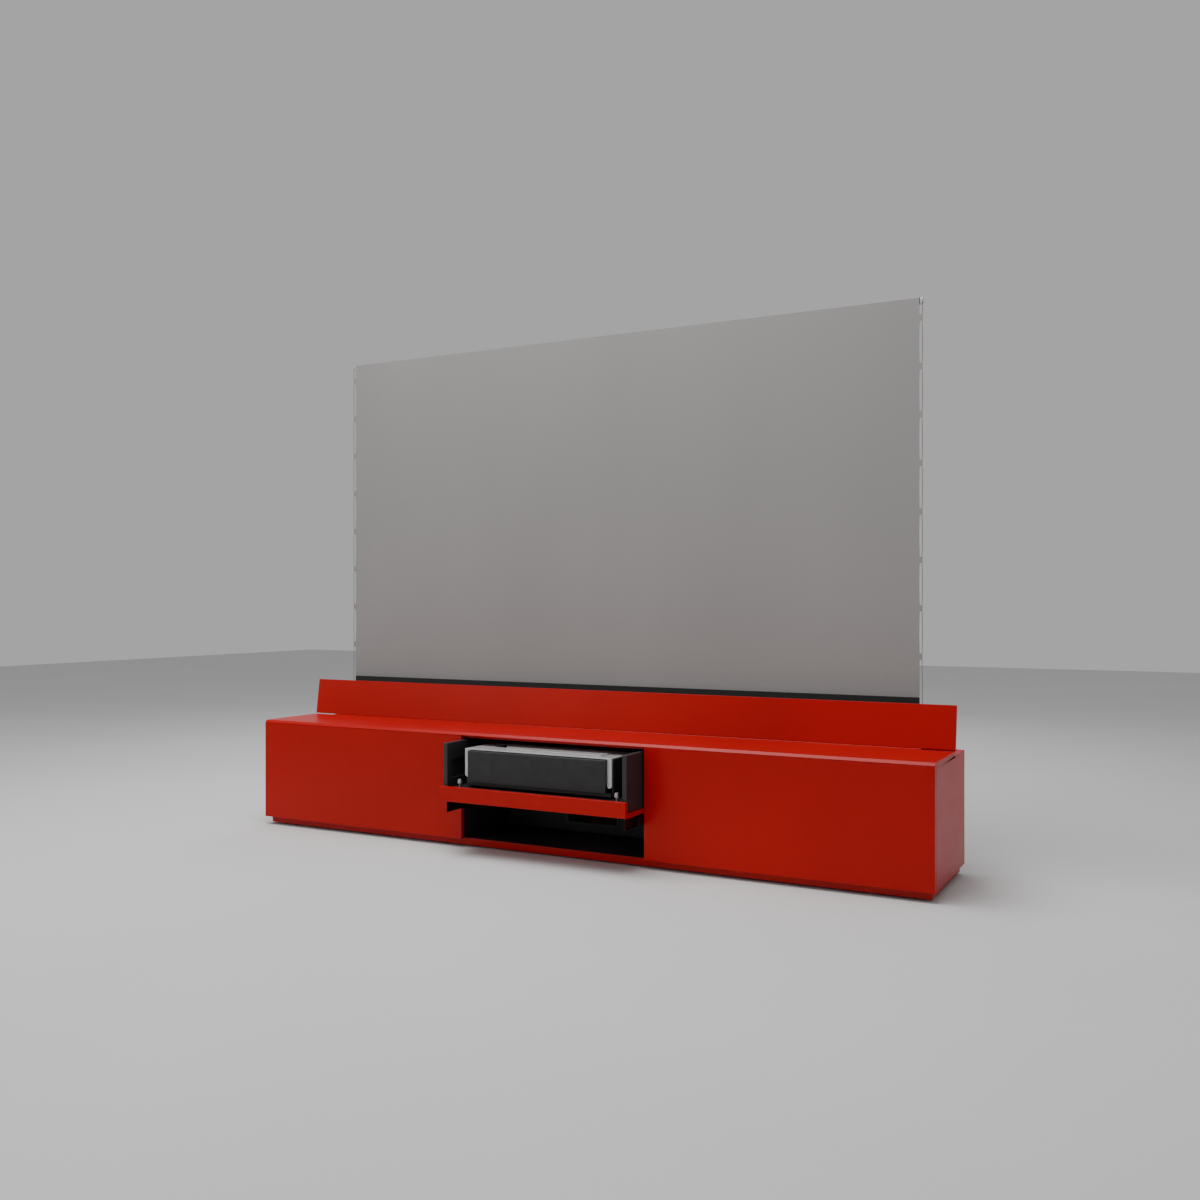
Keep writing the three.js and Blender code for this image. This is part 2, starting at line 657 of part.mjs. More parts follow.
// A side board with a stepped rectangular pocket in its inner face.
function traySide(sign) {
  const outer = trayHalf - TRAY_SIDE.inset;
  const inner = outer - TRAY_SIDE.thick;
  const front = trayFront + TRAY.lip + SEAM;
  const pocketFront = trayFront + TRAY_SIDE.pocketFront;
  const pocketBack = pocketFront + TRAY_SIDE.pocketLength;
  const top = POCKET.bottom + POCKET.height;
  const stepFront = pocketFront + TRAY_SIDE.pocketStep;
  return cut(
    sideBlock(sign, inner, outer, front, trayBack, boardTop + SEAM, TRAY_SIDE.top),
    sideBlock(sign, inner - LAP, inner + POCKET.depth, pocketFront, pocketBack, POCKET.bottom, top),
    sideBlock(sign, inner - LAP, inner + POCKET.deeper, stepFront, pocketBack, POCKET.bottom, top),
  );
}

function platform() {
  const half = trayHalf - TRAY_SIDE.inset - TRAY_SIDE.thick - PLATFORM.inset;
  const front = trayFront + PLATFORM.front;
  const under = PLATFORM.top - PLATFORM.sheet;
  const foot = boardTop + SEAM;
  const deck = block(-half, half, front, trayBack, under, PLATFORM.top);
  const skirts = SIDES.map(({ sign }) =>
    sideBlock(sign, half - PLATFORM.skirt, half, front, trayBack, foot, under + LAP),
  );
  const holes = SIDES.map(({ sign }) =>
    rodZ(sign * knobX, trayFront + KNOB.front, under - LAP, PLATFORM.top + LAP, KNOB.stem + SLIP),
  );
  return cut(join(deck, ...skirts), ...holes);
}

function knob(sign) {
  const foot = boardTop + KNOB.lift;
  const profile = [
    [0, foot],
    [KNOB.stem, foot],
    [KNOB.stem, KNOB.headBottom],
    [KNOB.radius, KNOB.headBottom],
    [KNOB.radius, KNOB.headTop - KNOB.chamfer],
    [KNOB.radius - KNOB.chamfer, KNOB.headTop],
    [0, KNOB.headTop],
  ];
  return latheZ(profile, sign * knobX, trayFront + KNOB.front);
}

function buildTray(group) {
  addTo(group, "tray_board", trayBoard(), FINISH.redLacquer);
  addTo(group, "tray_front_lip", trayLip(), FINISH.redLacquer);
  addTo(group, "projector_platform", platform(), FINISH.blackPanel);
  for (const { name, sign } of SIDES) {
    addTo(group, `tray_side_${name}`, traySide(sign), FINISH.blackPanel);
    addTo(group, `levelling_knob_${name}`, knob(sign), FINISH.zincSteel);
    addTo(group, `outer_rail_${name}`, outerRail(sign), FINISH.zincSteel);
    addTo(group, `middle_rail_${name}`, middleRail(sign), FINISH.zincSteel);
    addTo(group, `inner_rail_${name}`, innerRail(sign), FINISH.zincSteel);
  }
}

// ---------------------------------------------------------------- projector: shell
const shellHalf = projectorHalf - PROJECTOR.skin - SEAM;
const wellFront = projectorFront + WELL.front;
const panelTop = plateUnder - SEAM;

function projectorBase() {
  const half = shellHalf;
  const front = projectorFront + PROJECTOR.skin;
  const back = projectorBack - PROJECTOR.skin - SEAM;
  const top = projectorBottom + PAN.lip;
  const pan = cut(
    block(-half, half, front, back, projectorBottom, top),
    block(
      -half + PROJECTOR.skin, half - PROJECTOR.skin,
      front + PROJECTOR.skin, back - PROJECTOR.skin,
      projectorBottom + PROJECTOR.skin, top + LAP,
    ),
  );
  const feet = [-half + PAN.footInset, half - PAN.footInset].flatMap((x) =>
    [front + PAN.footInset, back - PAN.footInset].map((y) =>
      rodZ(x, y, PLATFORM.top + SEAM, projectorBottom + LAP, PAN.foot),
    ),
  );
  return join(pan, ...feet);
}

// The silver top plate with its two upright front bars, whose lower ends are rounded.
function projectorTopFrame() {
  const plate = block(-projectorHalf, projectorHalf, projectorFront, plateBack, plateUnder, projectorTop);
  const bottom = projectorBottom + FRONT_BAR.bottom;
  const radius = FRONT_BAR.width / 2;
  const bars = SIDES.flatMap(({ sign }) => {
    const inner = projectorHalf - FRONT_BAR.width;
    const back = projectorFront + FRONT_BAR.depth;
    const centre = sign * (projectorHalf - radius);
    return [
      sideBlock(sign, inner, projectorHalf, projectorFront, back, bottom + radius, plateUnder + LAP),
      rodY(centre, projectorFront, back, bottom + radius, radius),
    ];
  });
  const opening = block(
    WELL.left, WELL.right, wellFront, wellFront + WELL.depth, plateUnder - LAP, projectorTop + LAP,
  );
  return cut(join(plate, ...bars), opening);
}

function frontPanel() {
  const half = projectorHalf - FRONT_BAR.width - SEAM;
  const back = projectorFront + FRONT_BAR.depth;
  const front = projectorFront - FRONT_PANEL.proud;
  const bottom = projectorBottom + FRONT_PANEL.bottom;
  const top = projectorTop - FRONT_PANEL.top;
  const wall = FRONT_PANEL.wall;
  return cut(
    block(-half, half, front, back, bottom, top),
    block(-half + wall, half - wall, front + wall, back + LAP, bottom + wall, top - wall),
  );
}

function sidePanel(sign) {
  const front = projectorFront + FRONT_BAR.depth + SEAM;
  const inner = projectorHalf - PROJECTOR.skin;
  const base = projectorBottom + SEAM;
  const slots = range(LOUVRE.count).map((i) => {
    const y = front + LOUVRE.front + i * LOUVRE.pitch;
    const bottom = projectorBottom + LOUVRE.bottom;
    const top = panelTop - LOUVRE.top;
    return sideBlock(sign, inner - LAP, projectorHalf + LAP, y, y + LOUVRE.width, bottom, top);
  });
  return cut(sideBlock(sign, inner, projectorHalf, front, projectorBack, base, panelTop), ...slots);
}

function rearPanel() {
  const front = projectorBack - PROJECTOR.skin;
  const outside = projectorBack + LAP;
  const portFloor = projectorBack - PORTS.depth;
  const panel = block(-shellHalf, shellHalf, front, projectorBack, projectorBottom + SEAM, panelTop);
  const recess = block(PORTS.left, PORTS.right, portFloor, outside, PORTS.bottom, PORTS.top);
  const slots = ventSlots(REAR_VENT, REAR_VENT.x, front - LAP, outside);
  const buttonHole = rodY(BUTTON.x, front - LAP, outside, BUTTON.height, BUTTON.radius + SLIP);
  const sockets = range(SOCKET.count).map((i) => {
    const left = PORTS.left + SOCKET.start + i * SOCKET.pitch;
    const bottom = PORTS.bottom + SOCKET.margin;
    const top = PORTS.top - SOCKET.margin;
    return block(left, left + SOCKET.width, portFloor - LAP, portFloor + SOCKET.proud, bottom, top);
  });
  const withSockets = join(cut(panel, recess, ...slots, buttonHole), ...sockets);
  return inletRecess(withSockets, PROJECTOR_INLET_X, (PORTS.bottom + PORTS.top) / 2, projectorBack);
}

function rearDeck() {
  const top = projectorTop - REAR_DECK.drop;
  const deck = block(-projectorHalf, projectorHalf, plateBack + SEAM, projectorBack, plateUnder, top);
  const count = Math.floor((PROJECTOR.width - REAR_DECK.pitch) / REAR_DECK.pitch);
  const { width, pitch } = REAR_DECK;
  const grooves = { bottom: top - REAR_DECK.groove, top: top + LAP, count, width, pitch };
  return cut(deck, ...ventSlots(grooves, 0, plateBack + REAR_DECK.margin, projectorBack - REAR_DECK.margin));
}

function buildShell(group) {
  addTo(group, "projector_base", projectorBase(), FINISH.blackPlastic);
  addTo(group, "projector_top_frame", projectorTopFrame(), FINISH.silver);
  addTo(group, "projector_front_panel", frontPanel(), FINISH.blackPlastic);
  addTo(group, "projector_rear_panel", rearPanel(), FINISH.blackPlastic);
  addTo(group, "projector_rear_deck", rearDeck(), FINISH.blackPlastic);
  for (const { name, sign } of SIDES) {
    addTo(group, `projector_side_${name}`, sidePanel(sign), FINISH.blackPlastic);
  }
}

// ---------------------------------------------------------------- projector: optics
// The shutter lies on the plate. Its left edge is cut at a slant, so a corner of the well stays in view.
function lensShutter() {
  const front = projectorFront + SHUTTER.front;
  const back = front + SHUTTER.depth;
  const profile = [
    [SHUTTER.frontLeft, front],
    [SHUTTER.right, front],
    [SHUTTER.right, back],
    [SHUTTER.rearLeft, back],
  ];
  return prismZ(profile, projectorTop + SEAM, projectorTop + SEAM + SHUTTER.thick);
}

function lensWell() {
  const top = plateUnder - SEAM;
  const bottom = top - WELL.deep;
  const outerFront = wellFront - WELL.wall;
  const outerBack = wellFront + WELL.depth + WELL.wall;
  const lightPath = MIRROR.halfWidth + MIRROR.clear;
  return cut(
    block(WELL.left - WELL.wall, WELL.right + WELL.wall, outerFront, outerBack, bottom, top),
    block(WELL.left, WELL.right, wellFront, wellFront + WELL.depth, bottom + WELL.wall, top + LAP),
    block(-lightPath, lightPath, wellFront, wellFront + WELL.depth, bottom - LAP, top),
  );
}

// A hollow mirror that turns the lens's light up and back towards the screen.
function concaveMirror() {
  const centreY = wellFront + MIRROR.centreBack;
  const centreZ = plateUnder - MIRROR.centreDrop;
  const arc = (radius) =>
    range(MIRROR.steps + 1).map((i) => {
      const angle = degrees(MIRROR.from + ((MIRROR.to - MIRROR.from) * i) / MIRROR.steps);
      return [centreY + radius * Math.cos(angle), centreZ + radius * Math.sin(angle)];
    });
  const profile = [...arc(MIRROR.radius), ...arc(MIRROR.radius - MIRROR.thick).reverse()];
  return prismX(profile, -MIRROR.halfWidth, MIRROR.halfWidth);
}

function lensBarrel() {
  const front = projectorFront + LENS.front;
  const back = trayFront + ENGINE.front - SEAM;
  const middle = (front + back) / 2;
  const z = projectorTop - LENS.drop;
  const inner = LENS.radius - LENS.dish;
  return cut(
    join(
      rodY(0, front, middle, z, LENS.radius, FINE_ROUND),
      rodY(0, middle - LAP, back, z, inner, FINE_ROUND),
    ),
    rodY(0, front - LAP, front + LENS.dish, z, inner, FINE_ROUND),
  );
}

function lightEngine() {
  const front = trayFront + ENGINE.front;
  const back = trayFront + ENGINE.back;
  const laserLeft = ENGINE.right - ENGINE.laserWidth;
  return join(
    block(ENGINE.left, ENGINE.right, front, back, ENGINE.bottom, ENGINE.bottom + ENGINE.bedHeight),
    block(ENGINE.left, ENGINE.left + ENGINE.chipWidth, front, back, ENGINE.bottom, ENGINE.top),
    block(laserLeft, ENGINE.right, front - ENGINE.laserProud, back, ENGINE.bottom, ENGINE.laserTop),
  );
}

function buildOptics(group) {
  addTo(group, "lens_shutter", lensShutter(), FINISH.silver);
  addTo(group, "lens_well", lensWell(), FINISH.blackPlastic);
  addTo(group, "concave_mirror", concaveMirror(), FINISH.glass);
  addTo(group, "lens_barrel", lensBarrel(), FINISH.blackSteel);
  addTo(group, "light_engine", lightEngine(), FINISH.aluminium);
}

// ---------------------------------------------------------------- projector: power, sound and cooling
function heatSink() {
  const front = trayFront + SINK.front;
  const back = trayFront + SINK.back;
  const baseUpper = SINK.bottom + SINK.base;
  const pitch = (SINK.right - SINK.left - SINK.fin) / (SINK.count - 1);
  const fins = range(SINK.count).map((i) => {
    const left = SINK.left + i * pitch;
    return block(left, left + SINK.fin, front, back, baseUpper - LAP, SINK.top);
  });
  return join(block(SINK.left, SINK.right, front, back, SINK.bottom, baseUpper), ...fins);
}

const fanBack = trayFront + FAN.back;
const fanCentre = { y: fanBack - FAN.size / 2, z: FAN.bottom + FAN.size / 2 };
const fanBore = FAN.size / 2 - FAN.wall;

// The frame, with a motor mount held by two crossed struts on its left face and an axle for the rotor.
function fanHousing() {
  const right = FAN.left + FAN.thick;
  const strutRight = FAN.left + FAN.strut;
  const reach = fanBore + LAP;
  const { y, z } = fanCentre;
  const frame = cut(
    block(FAN.left, right, fanBack - FAN.size, fanBack, FAN.bottom, FAN.bottom + FAN.size),
    rodX(FAN.left - LAP, right + LAP, y, z, fanBore, FINE_ROUND),
  );
  return join(
    frame,
    rodX(FAN.left, strutRight, y, z, FAN.hub),
    rodX(FAN.left, right - FAN.strut, y, z, FAN.axle, SMALL_ROUND),
    block(FAN.left, strutRight, y - reach, y + reach, z - FAN.axle, z + FAN.axle),
    block(FAN.left, strutRight, y - FAN.axle, y + FAN.axle, z - reach, z + reach),
  );
}

function fanRotor() {
  const start = FAN.left + FAN.strut + SLIP;
  const end = FAN.left + FAN.thick - FAN.recess;
  const tip = fanBore - FAN.tipGap;
  const root = FAN.hub - FAN.bladeRoot;
  const bladeDepth = end - start - FAN.bladeInset;
  const blades = range(FAN.blades).map((i) => {
    const blade = new THREE.BoxGeometry(bladeDepth, FAN.bladeThick, tip - root);
    blade.translate(0, 0, (tip + root) / 2).rotateZ(degrees(FAN.bladeAngle));
    blade.rotateX((i * 2 * Math.PI) / FAN.blades);
    return blade.translate((start + end) / 2, 0, 0);
  });
  const hub = rodX(start, end, 0, 0, FAN.hub);
  const bore = rodX(start - LAP, end - FAN.cap, 0, 0, FAN.axle + SLIP, SMALL_ROUND);
  return cut(join(hub, ...blades), bore).translate(0, fanCentre.y, fanCentre.z);
}

// A board that carries two capacitors, a transformer and an upright cooling plate.
function powerSupply() {
  const front = trayFront + SUPPLY.front;
  const back = trayFront + SUPPLY.back;
  const boardUpper = SUPPLY.bottom + SUPPLY.thick;
  const seat = boardUpper - LAP;
  const { capacitor, transformer, plate } = SUPPLY;
  const capacitors = capacitor.fronts.map((depth) =>
    rodZ(SUPPLY.left + capacitor.left, front + depth, seat, capacitor.top, capacitor.radius),
  );
  const blocks = [transformer, plate].map((piece) =>
    block(
      SUPPLY.left + piece.left, SUPPLY.left + piece.right,
      front + piece.front, front + piece.back, seat, piece.top,
    ),
  );
  const board = block(SUPPLY.left, SUPPLY.right, front, back, SUPPLY.bottom, boardUpper);
  return join(board, ...capacitors, ...blocks);
}

function mainBoard() {
  const front = trayFront + CIRCUIT.front;
  const back = trayFront + CIRCUIT.back;
  const boardUpper = CIRCUIT.height + CIRCUIT.thick;
  const parts = BOARD_PARTS.map(([left, right, near, far, height]) =>
    block(
      CIRCUIT.left + left, CIRCUIT.left + right,
      front + near, front + far, boardUpper - LAP, boardUpper + height,
    ),
  );
  return join(block(CIRCUIT.left, CIRCUIT.right, front, back, CIRCUIT.height, boardUpper), ...parts);
}

// A closed box whose front face is dished round a dome.
function speaker(sign) {
  const front = projectorFront + SPEAKER.front;
  const back = front + SPEAKER.depth;
  const x = (sign * (SPEAKER.inner + SPEAKER.outer)) / 2;
  const z = (SPEAKER.bottom + SPEAKER.top) / 2;
  const box = sideBlock(sign, SPEAKER.inner, SPEAKER.outer, front, back, SPEAKER.bottom, SPEAKER.top);
  const cone = new THREE.CylinderGeometry(SPEAKER.throat, SPEAKER.cone, SPEAKER.coneDepth, FINE_ROUND);
  cone.translate(x, front - LAP + SPEAKER.coneDepth / 2, z);
  const dome = rodY(x, front + SPEAKER.domeBack, front + SPEAKER.coneDepth + LAP, z, SPEAKER.dome);
  return join(cut(box, cone), dome);
}

function powerButton() {
  const face = projectorBack + BUTTON.proud;
  const inside = projectorBack - PROJECTOR.skin - SLIP;
  return join(
    rodY(BUTTON.x, face - BUTTON.length, face, BUTTON.height, BUTTON.radius),
    rodY(BUTTON.x, inside - BUTTON.collarThick, inside, BUTTON.height, BUTTON.collar),
  );
}

function buildInsides(group) {
  addTo(group, "heat_sink", heatSink(), FINISH.aluminium);
  addTo(group, "fan_housing", fanHousing(), FINISH.blackPlastic);
  addTo(group, "fan_rotor", fanRotor(), FINISH.blackPlastic);
  addTo(group, "power_supply", powerSupply(), FINISH.circuit);
  addTo(group, "main_board", mainBoard(), FINISH.circuit);
  addTo(group, "power_button", powerButton(), FINISH.zincSteel);
  for (const { name, sign } of SIDES) {
    addTo(group, `speaker_${name}`, speaker(sign), FINISH.blackPlastic);
  }
}

// ---------------------------------------------------------------- the whole object
const group = new THREE.Group();
buildCabinet(group);
buildDoors(group);
buildFlap(group);
buildScreen(group);
buildTray(group);
buildShell(group);
buildOptics(group);
buildInsides(group);
group.position.y = -(trayFront + CABINET.depth) / 2;

export default group;
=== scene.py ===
"""Looks of a home cinema cabinet that holds a short-throw projector and a screen which rises behind it.

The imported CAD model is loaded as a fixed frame. Every place is read from its boxes and joints, in metres,
with X across the width, Y from front to back and Z up.
"""

import json
import logging
import math
from collections.abc import Iterable, Sequence
from dataclasses import dataclass, field
from enum import Enum

import bmesh
import bpy
from mathutils import Matrix, Vector


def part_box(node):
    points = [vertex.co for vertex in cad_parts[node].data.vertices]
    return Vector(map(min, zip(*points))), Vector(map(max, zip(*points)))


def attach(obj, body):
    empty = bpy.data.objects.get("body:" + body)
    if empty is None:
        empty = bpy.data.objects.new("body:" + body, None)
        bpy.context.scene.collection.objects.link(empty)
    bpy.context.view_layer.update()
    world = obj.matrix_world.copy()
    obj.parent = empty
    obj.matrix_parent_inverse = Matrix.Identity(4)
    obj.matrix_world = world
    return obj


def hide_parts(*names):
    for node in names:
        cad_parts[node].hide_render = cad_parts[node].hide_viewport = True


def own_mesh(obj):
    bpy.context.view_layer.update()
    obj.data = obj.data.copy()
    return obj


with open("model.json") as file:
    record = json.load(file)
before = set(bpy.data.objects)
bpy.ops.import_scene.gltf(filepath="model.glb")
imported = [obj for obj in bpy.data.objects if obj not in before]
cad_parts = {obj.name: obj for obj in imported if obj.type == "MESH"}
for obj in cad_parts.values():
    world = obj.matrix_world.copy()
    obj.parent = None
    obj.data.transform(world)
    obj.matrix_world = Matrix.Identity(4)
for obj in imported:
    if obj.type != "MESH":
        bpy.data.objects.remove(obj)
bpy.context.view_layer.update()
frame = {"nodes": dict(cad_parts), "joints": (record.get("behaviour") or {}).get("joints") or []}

log = logging.getLogger("projector_cabinet")

# The gap left between neighbours, the depth to which a fitting sinks into its seat, the length by which
# a pin or boss runs into what carries it, and how far a cutter reaches past the face that it opens.
SEAM = 0.0005
HAIR = 0.0002
OVERLAP = 0.001
CUT_PAST = 0.002
# Distances at which points count as one and as level, and a step in radians that never repeats.
MERGE = 1e-6
NEAR = 1e-5
SCATTER = 2.4
# Faces within the first angle are one flat face. An edge over the second is rounded when its piece is
# eased, and an edge over the third is shaded sharp.
FLAT_ANGLE = math.radians(1)
SHARP_ANGLE = math.radians(30)
SMOOTH_ANGLE = math.radians(35)


class Axis(Enum):
    """The axis that a rod, prism or lathed shape lies along."""

    X = (1.0, 0.0, 0.0)
    Y = (0.0, 1.0, 0.0)
    Z = (0.0, 0.0, 1.0)

    @property
    def vector(self) -> Vector:
        """The axis as a unit vector."""
        return Vector(self.value)

    @property
    def basis(self) -> Matrix:
        """The turn that carries a shape drawn up along Z onto this axis, without mirroring it."""
        turns = {
            Axis.X: Matrix(((0, 0, 1, 0), (1, 0, 0, 0), (0, 1, 0, 0), (0, 0, 0, 1))),
            Axis.Y: Matrix(((0, 1, 0, 0), (0, 0, 1, 0), (1, 0, 0, 0), (0, 0, 0, 1))),
            Axis.Z: Matrix.Identity(4),
        }
        return turns[self]


class Side(Enum):
    """The left or right of a pair."""

    LEFT = -1
    RIGHT = 1

    @property
    def label(self) -> str:
        """The side's name as the nodes and bodies spell it."""
        return self.name.lower()


class Slot(Enum):
    """The record's material slots."""

    RED_LACQUER = "red_lacquer"
    RED_STEEL = "red_steel"
    BLACK_BOARD = "black_board"
    BLACK_STEEL = "black_steel"
    BLACK_ALUMINIUM = "black_aluminium"
    ZINC_STEEL = "zinc_steel"
    BARE_ALUMINIUM = "bare_aluminium"
    SILVER_SHELL = "silver_shell"
    BLACK_PLASTIC = "black_plastic"
    MIRROR_GLASS = "mirror_glass"
    SCREEN_FABRIC = "screen_fabric"


@dataclass(frozen=True)
class Box:
    """The lowest and highest corner of a CAD node at rest."""

    low: Vector
    high: Vector

    @staticmethod
    def of(node: str) -> "Box":
        """The box of the CAD node with that name."""
        return Box(*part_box(node))

    @property
    def centre(self) -> Vector:
        """The middle of the box."""
        return (self.low + self.high) / 2

    @property
    def size(self) -> Vector:
        """The box's three sides."""
        return self.high - self.low


def joint_place(name: str) -> Vector:
    """The point that a hinge turns about at rest.

    Args:
        name: the joint's name in the record.

    Returns:
        The point in the row frame.
    """
    return Vector(next(joint["pos_m"] for joint in frame["joints"] if joint["name"] == name))


# ------------------------------------------------------------------ node graphs
class Graph:
    """The node graph of one material, with short ways to add and join its nodes."""

    def __init__(self, name: str) -> None:
        """Starts a material with a Principled shader.

        Args:
            name: the material's name.
        """
        self.material: bpy.types.Material = bpy.data.materials.new(name)
        self.material.use_nodes = True
        self.tree = self.material.node_tree
        self.shader = self.tree.nodes["Principled BSDF"]

    def add(self, kind: str, **settings: object) -> bpy.types.Node:
        """Adds a node of a kind and sets its own properties.

        Args:
            kind: the node type without its "ShaderNode" start.
            settings: the node's properties by name.

        Returns:
            The new node.
        """
        node = self.tree.nodes.new(f"ShaderNode{kind}")
        for key, value in settings.items():
            setattr(node, key, value)
        return node

    def join(self, source: bpy.types.NodeSocket, target: bpy.types.NodeSocket) -> None:
        """Links one socket to another."""
        self.tree.links.new(source, target)

    def set(self, **values: object) -> None:
        """Sets plain values on the shader's own sockets, with _ for a space in a socket's name."""
        for key, value in values.items():
            self.shader.inputs[key.replace("_", " ")].default_value = value

    def place(self, scale: Sequence[float] = (1, 1, 1),
              turn: Sequence[float] = (0, 0, 0)) -> bpy.types.NodeSocket:
        """The piece's Object coordinates, turned and then stretched.

        Args:
            scale: the stretch on each axis.
            turn: the turn in radians about each axis.

        Returns:
            The vector socket.
        """
        coordinates = self.add("TexCoord").outputs["Object"]
        turned = self.add("Mapping")
        turned.inputs["Rotation"].default_value = turn
        self.join(coordinates, turned.inputs["Vector"])
        scaled = self.add("Mapping")
        scaled.inputs["Scale"].default_value = scale
        self.join(turned.outputs["Vector"], scaled.inputs["Vector"])
        return scaled.outputs["Vector"]

    def noise(self, where: bpy.types.NodeSocket, scale: float, detail: float = 3.0) -> bpy.types.NodeSocket:
        """Noise between 0 and 1 over the given coordinates.

        Args:
            where: the coordinates.
            scale: features to the metre.
            detail: how many finer layers there are.

        Returns:
            The value socket.
        """
        node = self.add("TexNoise")
        node.inputs["Scale"].default_value = scale
        node.inputs["Detail"].default_value = detail
        self.join(where, node.inputs["Vector"])
        return node.outputs["Fac"]

    def span(self, value: bpy.types.NodeSocket, low: float, high: float,
             start: float = 0.3, stop: float = 0.7) -> bpy.types.NodeSocket:
        """Spreads a value from start to stop over low to high.

        Args:
            value: the value socket.
            low: the result at start.
            high: the result at stop.
            start: the value that gives low.
            stop: the value that gives high.

        Returns:
            The value socket.
        """
        node = self.add("MapRange", clamp=True)
        for key, number in (("From Min", start), ("From Max", stop), ("To Min", low), ("To Max", high)):
            node.inputs[key].default_value = number
        self.join(value, node.inputs["Value"])
        return node.outputs["Result"]

    def blend(self, factor: bpy.types.NodeSocket, first: Sequence[float],
              second: Sequence[float]) -> bpy.types.NodeSocket:
        """Mixes two colours.

        Args:
            factor: 0 for the first and 1 for the second.
            first: a linear colour.
            second: a linear colour.

        Returns:
            The colour socket.
        """
        node = self.add("Mix", data_type="RGBA")
        for socket, value in ((6, first), (7, second)):
            node.inputs[socket].default_value = (*value, 1)
        self.join(factor, node.inputs[0])
        return node.outputs[2]

    def compute(self, operation: str, *values: object) -> bpy.types.NodeSocket:
        """A Math node.

        Args:
            operation: the node's operation.
            values: each a socket or a plain number.

        Returns:
            The value socket.
        """
        node = self.add("Math", operation=operation)
        for socket, value in zip(node.inputs, values):
            if isinstance(value, bpy.types.NodeSocket):
                self.join(value, socket)
            else:
                socket.default_value = value
        return node.outputs["Value"]

    def weigh(self, first: bpy.types.NodeSocket, second: bpy.types.NodeSocket,
              share: float) -> bpy.types.NodeSocket:
        """Adds two values, the first in the given share and the second in the rest."""
        parts = self.compute("MULTIPLY", first, share), self.compute("MULTIPLY", second, 1 - share)
        return self.compute("ADD", *parts)

    def relief(self, height: bpy.types.NodeSocket, depth: float) -> None:
        """Gives the surface a fine relief.

        Args:
            height: a value from 0 to 1.
            depth: how deep 1 is, in metres.
        """
        node = self.add("Bump")
        node.inputs["Distance"].default_value = depth
        node.inputs["Strength"].default_value = 1.0
        self.join(height, node.inputs["Height"])
        self.join(node.outputs["Normal"], self.shader.inputs["Normal"])

    def colour(self, socket: bpy.types.NodeSocket) -> None:
        """Drives the base colour."""
        self.join(socket, self.shader.inputs["Base Color"])

    def roughness(self, socket: bpy.types.NodeSocket) -> None:
        """Drives the roughness."""
        self.join(socket, self.shader.inputs["Roughness"])


# ------------------------------------------------------------------ finishes
def shade(colour: Sequence[float], amount: float) -> tuple[float, float, float]:
    """The colour times an amount."""
    return tuple(channel * amount for channel in colour)


@dataclass(frozen=True)
class Finish:
    """A surface finish, which builds its own material."""

    name: str

    def paint(self, graph: Graph) -> None:
        """Lays out the finish in a node graph."""
        raise NotImplementedError


@dataclass(frozen=True)
class Lacquer(Finish):
    """Sprayed and rubbed satin lacquer, with orange peel and soft handling marks."""

    base: tuple[float, float, float] = (0.4, 0.0012, 0.0015)
    peel: float = 0.00002

    def paint(self, graph: Graph) -> None:
        """Lays out the lacquer."""
        where = graph.place()
        cloud = graph.noise(where, 1.7, 4)
        rubbed = graph.noise(graph.place((1.0, 1.0, 2.5)), 3.0, 3)
        graph.colour(graph.blend(graph.span(cloud, 0, 1), shade(self.base, 0.9), shade(self.base, 1.06)))
        graph.roughness(graph.span(rubbed, 0.31, 0.37))
        graph.relief(graph.noise(where, 260.0, 2), self.peel)
        graph.set(Specular_IOR_Level=0.2)


@dataclass(frozen=True)
class Laminate(Finish):
    """Matt black board laminate with a fine pressed grain."""

    base: tuple[float, float, float] = (0.014, 0.014, 0.015)
    stretch: tuple[float, float, float] = (1.0, 1.0, 8.0)

    def paint(self, graph: Graph) -> None:
        """Lays out the laminate."""
        grain = graph.noise(graph.place(self.stretch), 140.0, 5)
        graph.colour(graph.blend(graph.span(grain, 0, 1), shade(self.base, 0.8), shade(self.base, 1.5)))
        graph.roughness(graph.span(grain, 0.46, 0.62))
        graph.relief(graph.noise(graph.place(self.stretch), 420.0, 4), 0.00006)


@dataclass(frozen=True)
class PowderCoat(Finish):
    """Fine-textured powder coat on steel sheet."""

    base: tuple[float, float, float] = (0.018, 0.018, 0.02)

    def paint(self, graph: Graph) -> None:
        """Lays out the powder coat."""
        where = graph.place()
        crumb = graph.noise(where, 900.0, 2)
        graph.colour(graph.blend(graph.span(crumb, 0, 1), shade(self.base, 0.85), shade(self.base, 1.25)))
        graph.roughness(graph.span(graph.noise(where, 14.0, 4), 0.45, 0.6))
        graph.relief(crumb, 0.00008)


@dataclass(frozen=True)
class DrawnMetal(Finish):
    """Bare metal with drawing or brushing lines along one direction."""

    base: tuple[float, float, float] = (0.6, 0.61, 0.62)
    along: Axis = Axis.X
    slope: float = 0.0
    rough: tuple[float, float] = (0.28, 0.46)

    def paint(self, graph: Graph) -> None:
        """Lays out the metal."""
        fine, coarse = 900.0, 6.0
        stretch = [coarse if axis is self.along else fine for axis in Axis]
        lines = graph.noise(graph.place(stretch, (0, self.slope, 0)), 1.0, 4)
        cloud = graph.noise(graph.place(), 22.0, 5)
        graph.colour(graph.blend(graph.span(lines, 0, 1), shade(self.base, 0.84), shade(self.base, 1.08)))
        graph.roughness(graph.span(graph.weigh(lines, cloud, 0.7), *self.rough))
        graph.relief(lines, 0.00001)
        graph.set(Metallic=1.0)


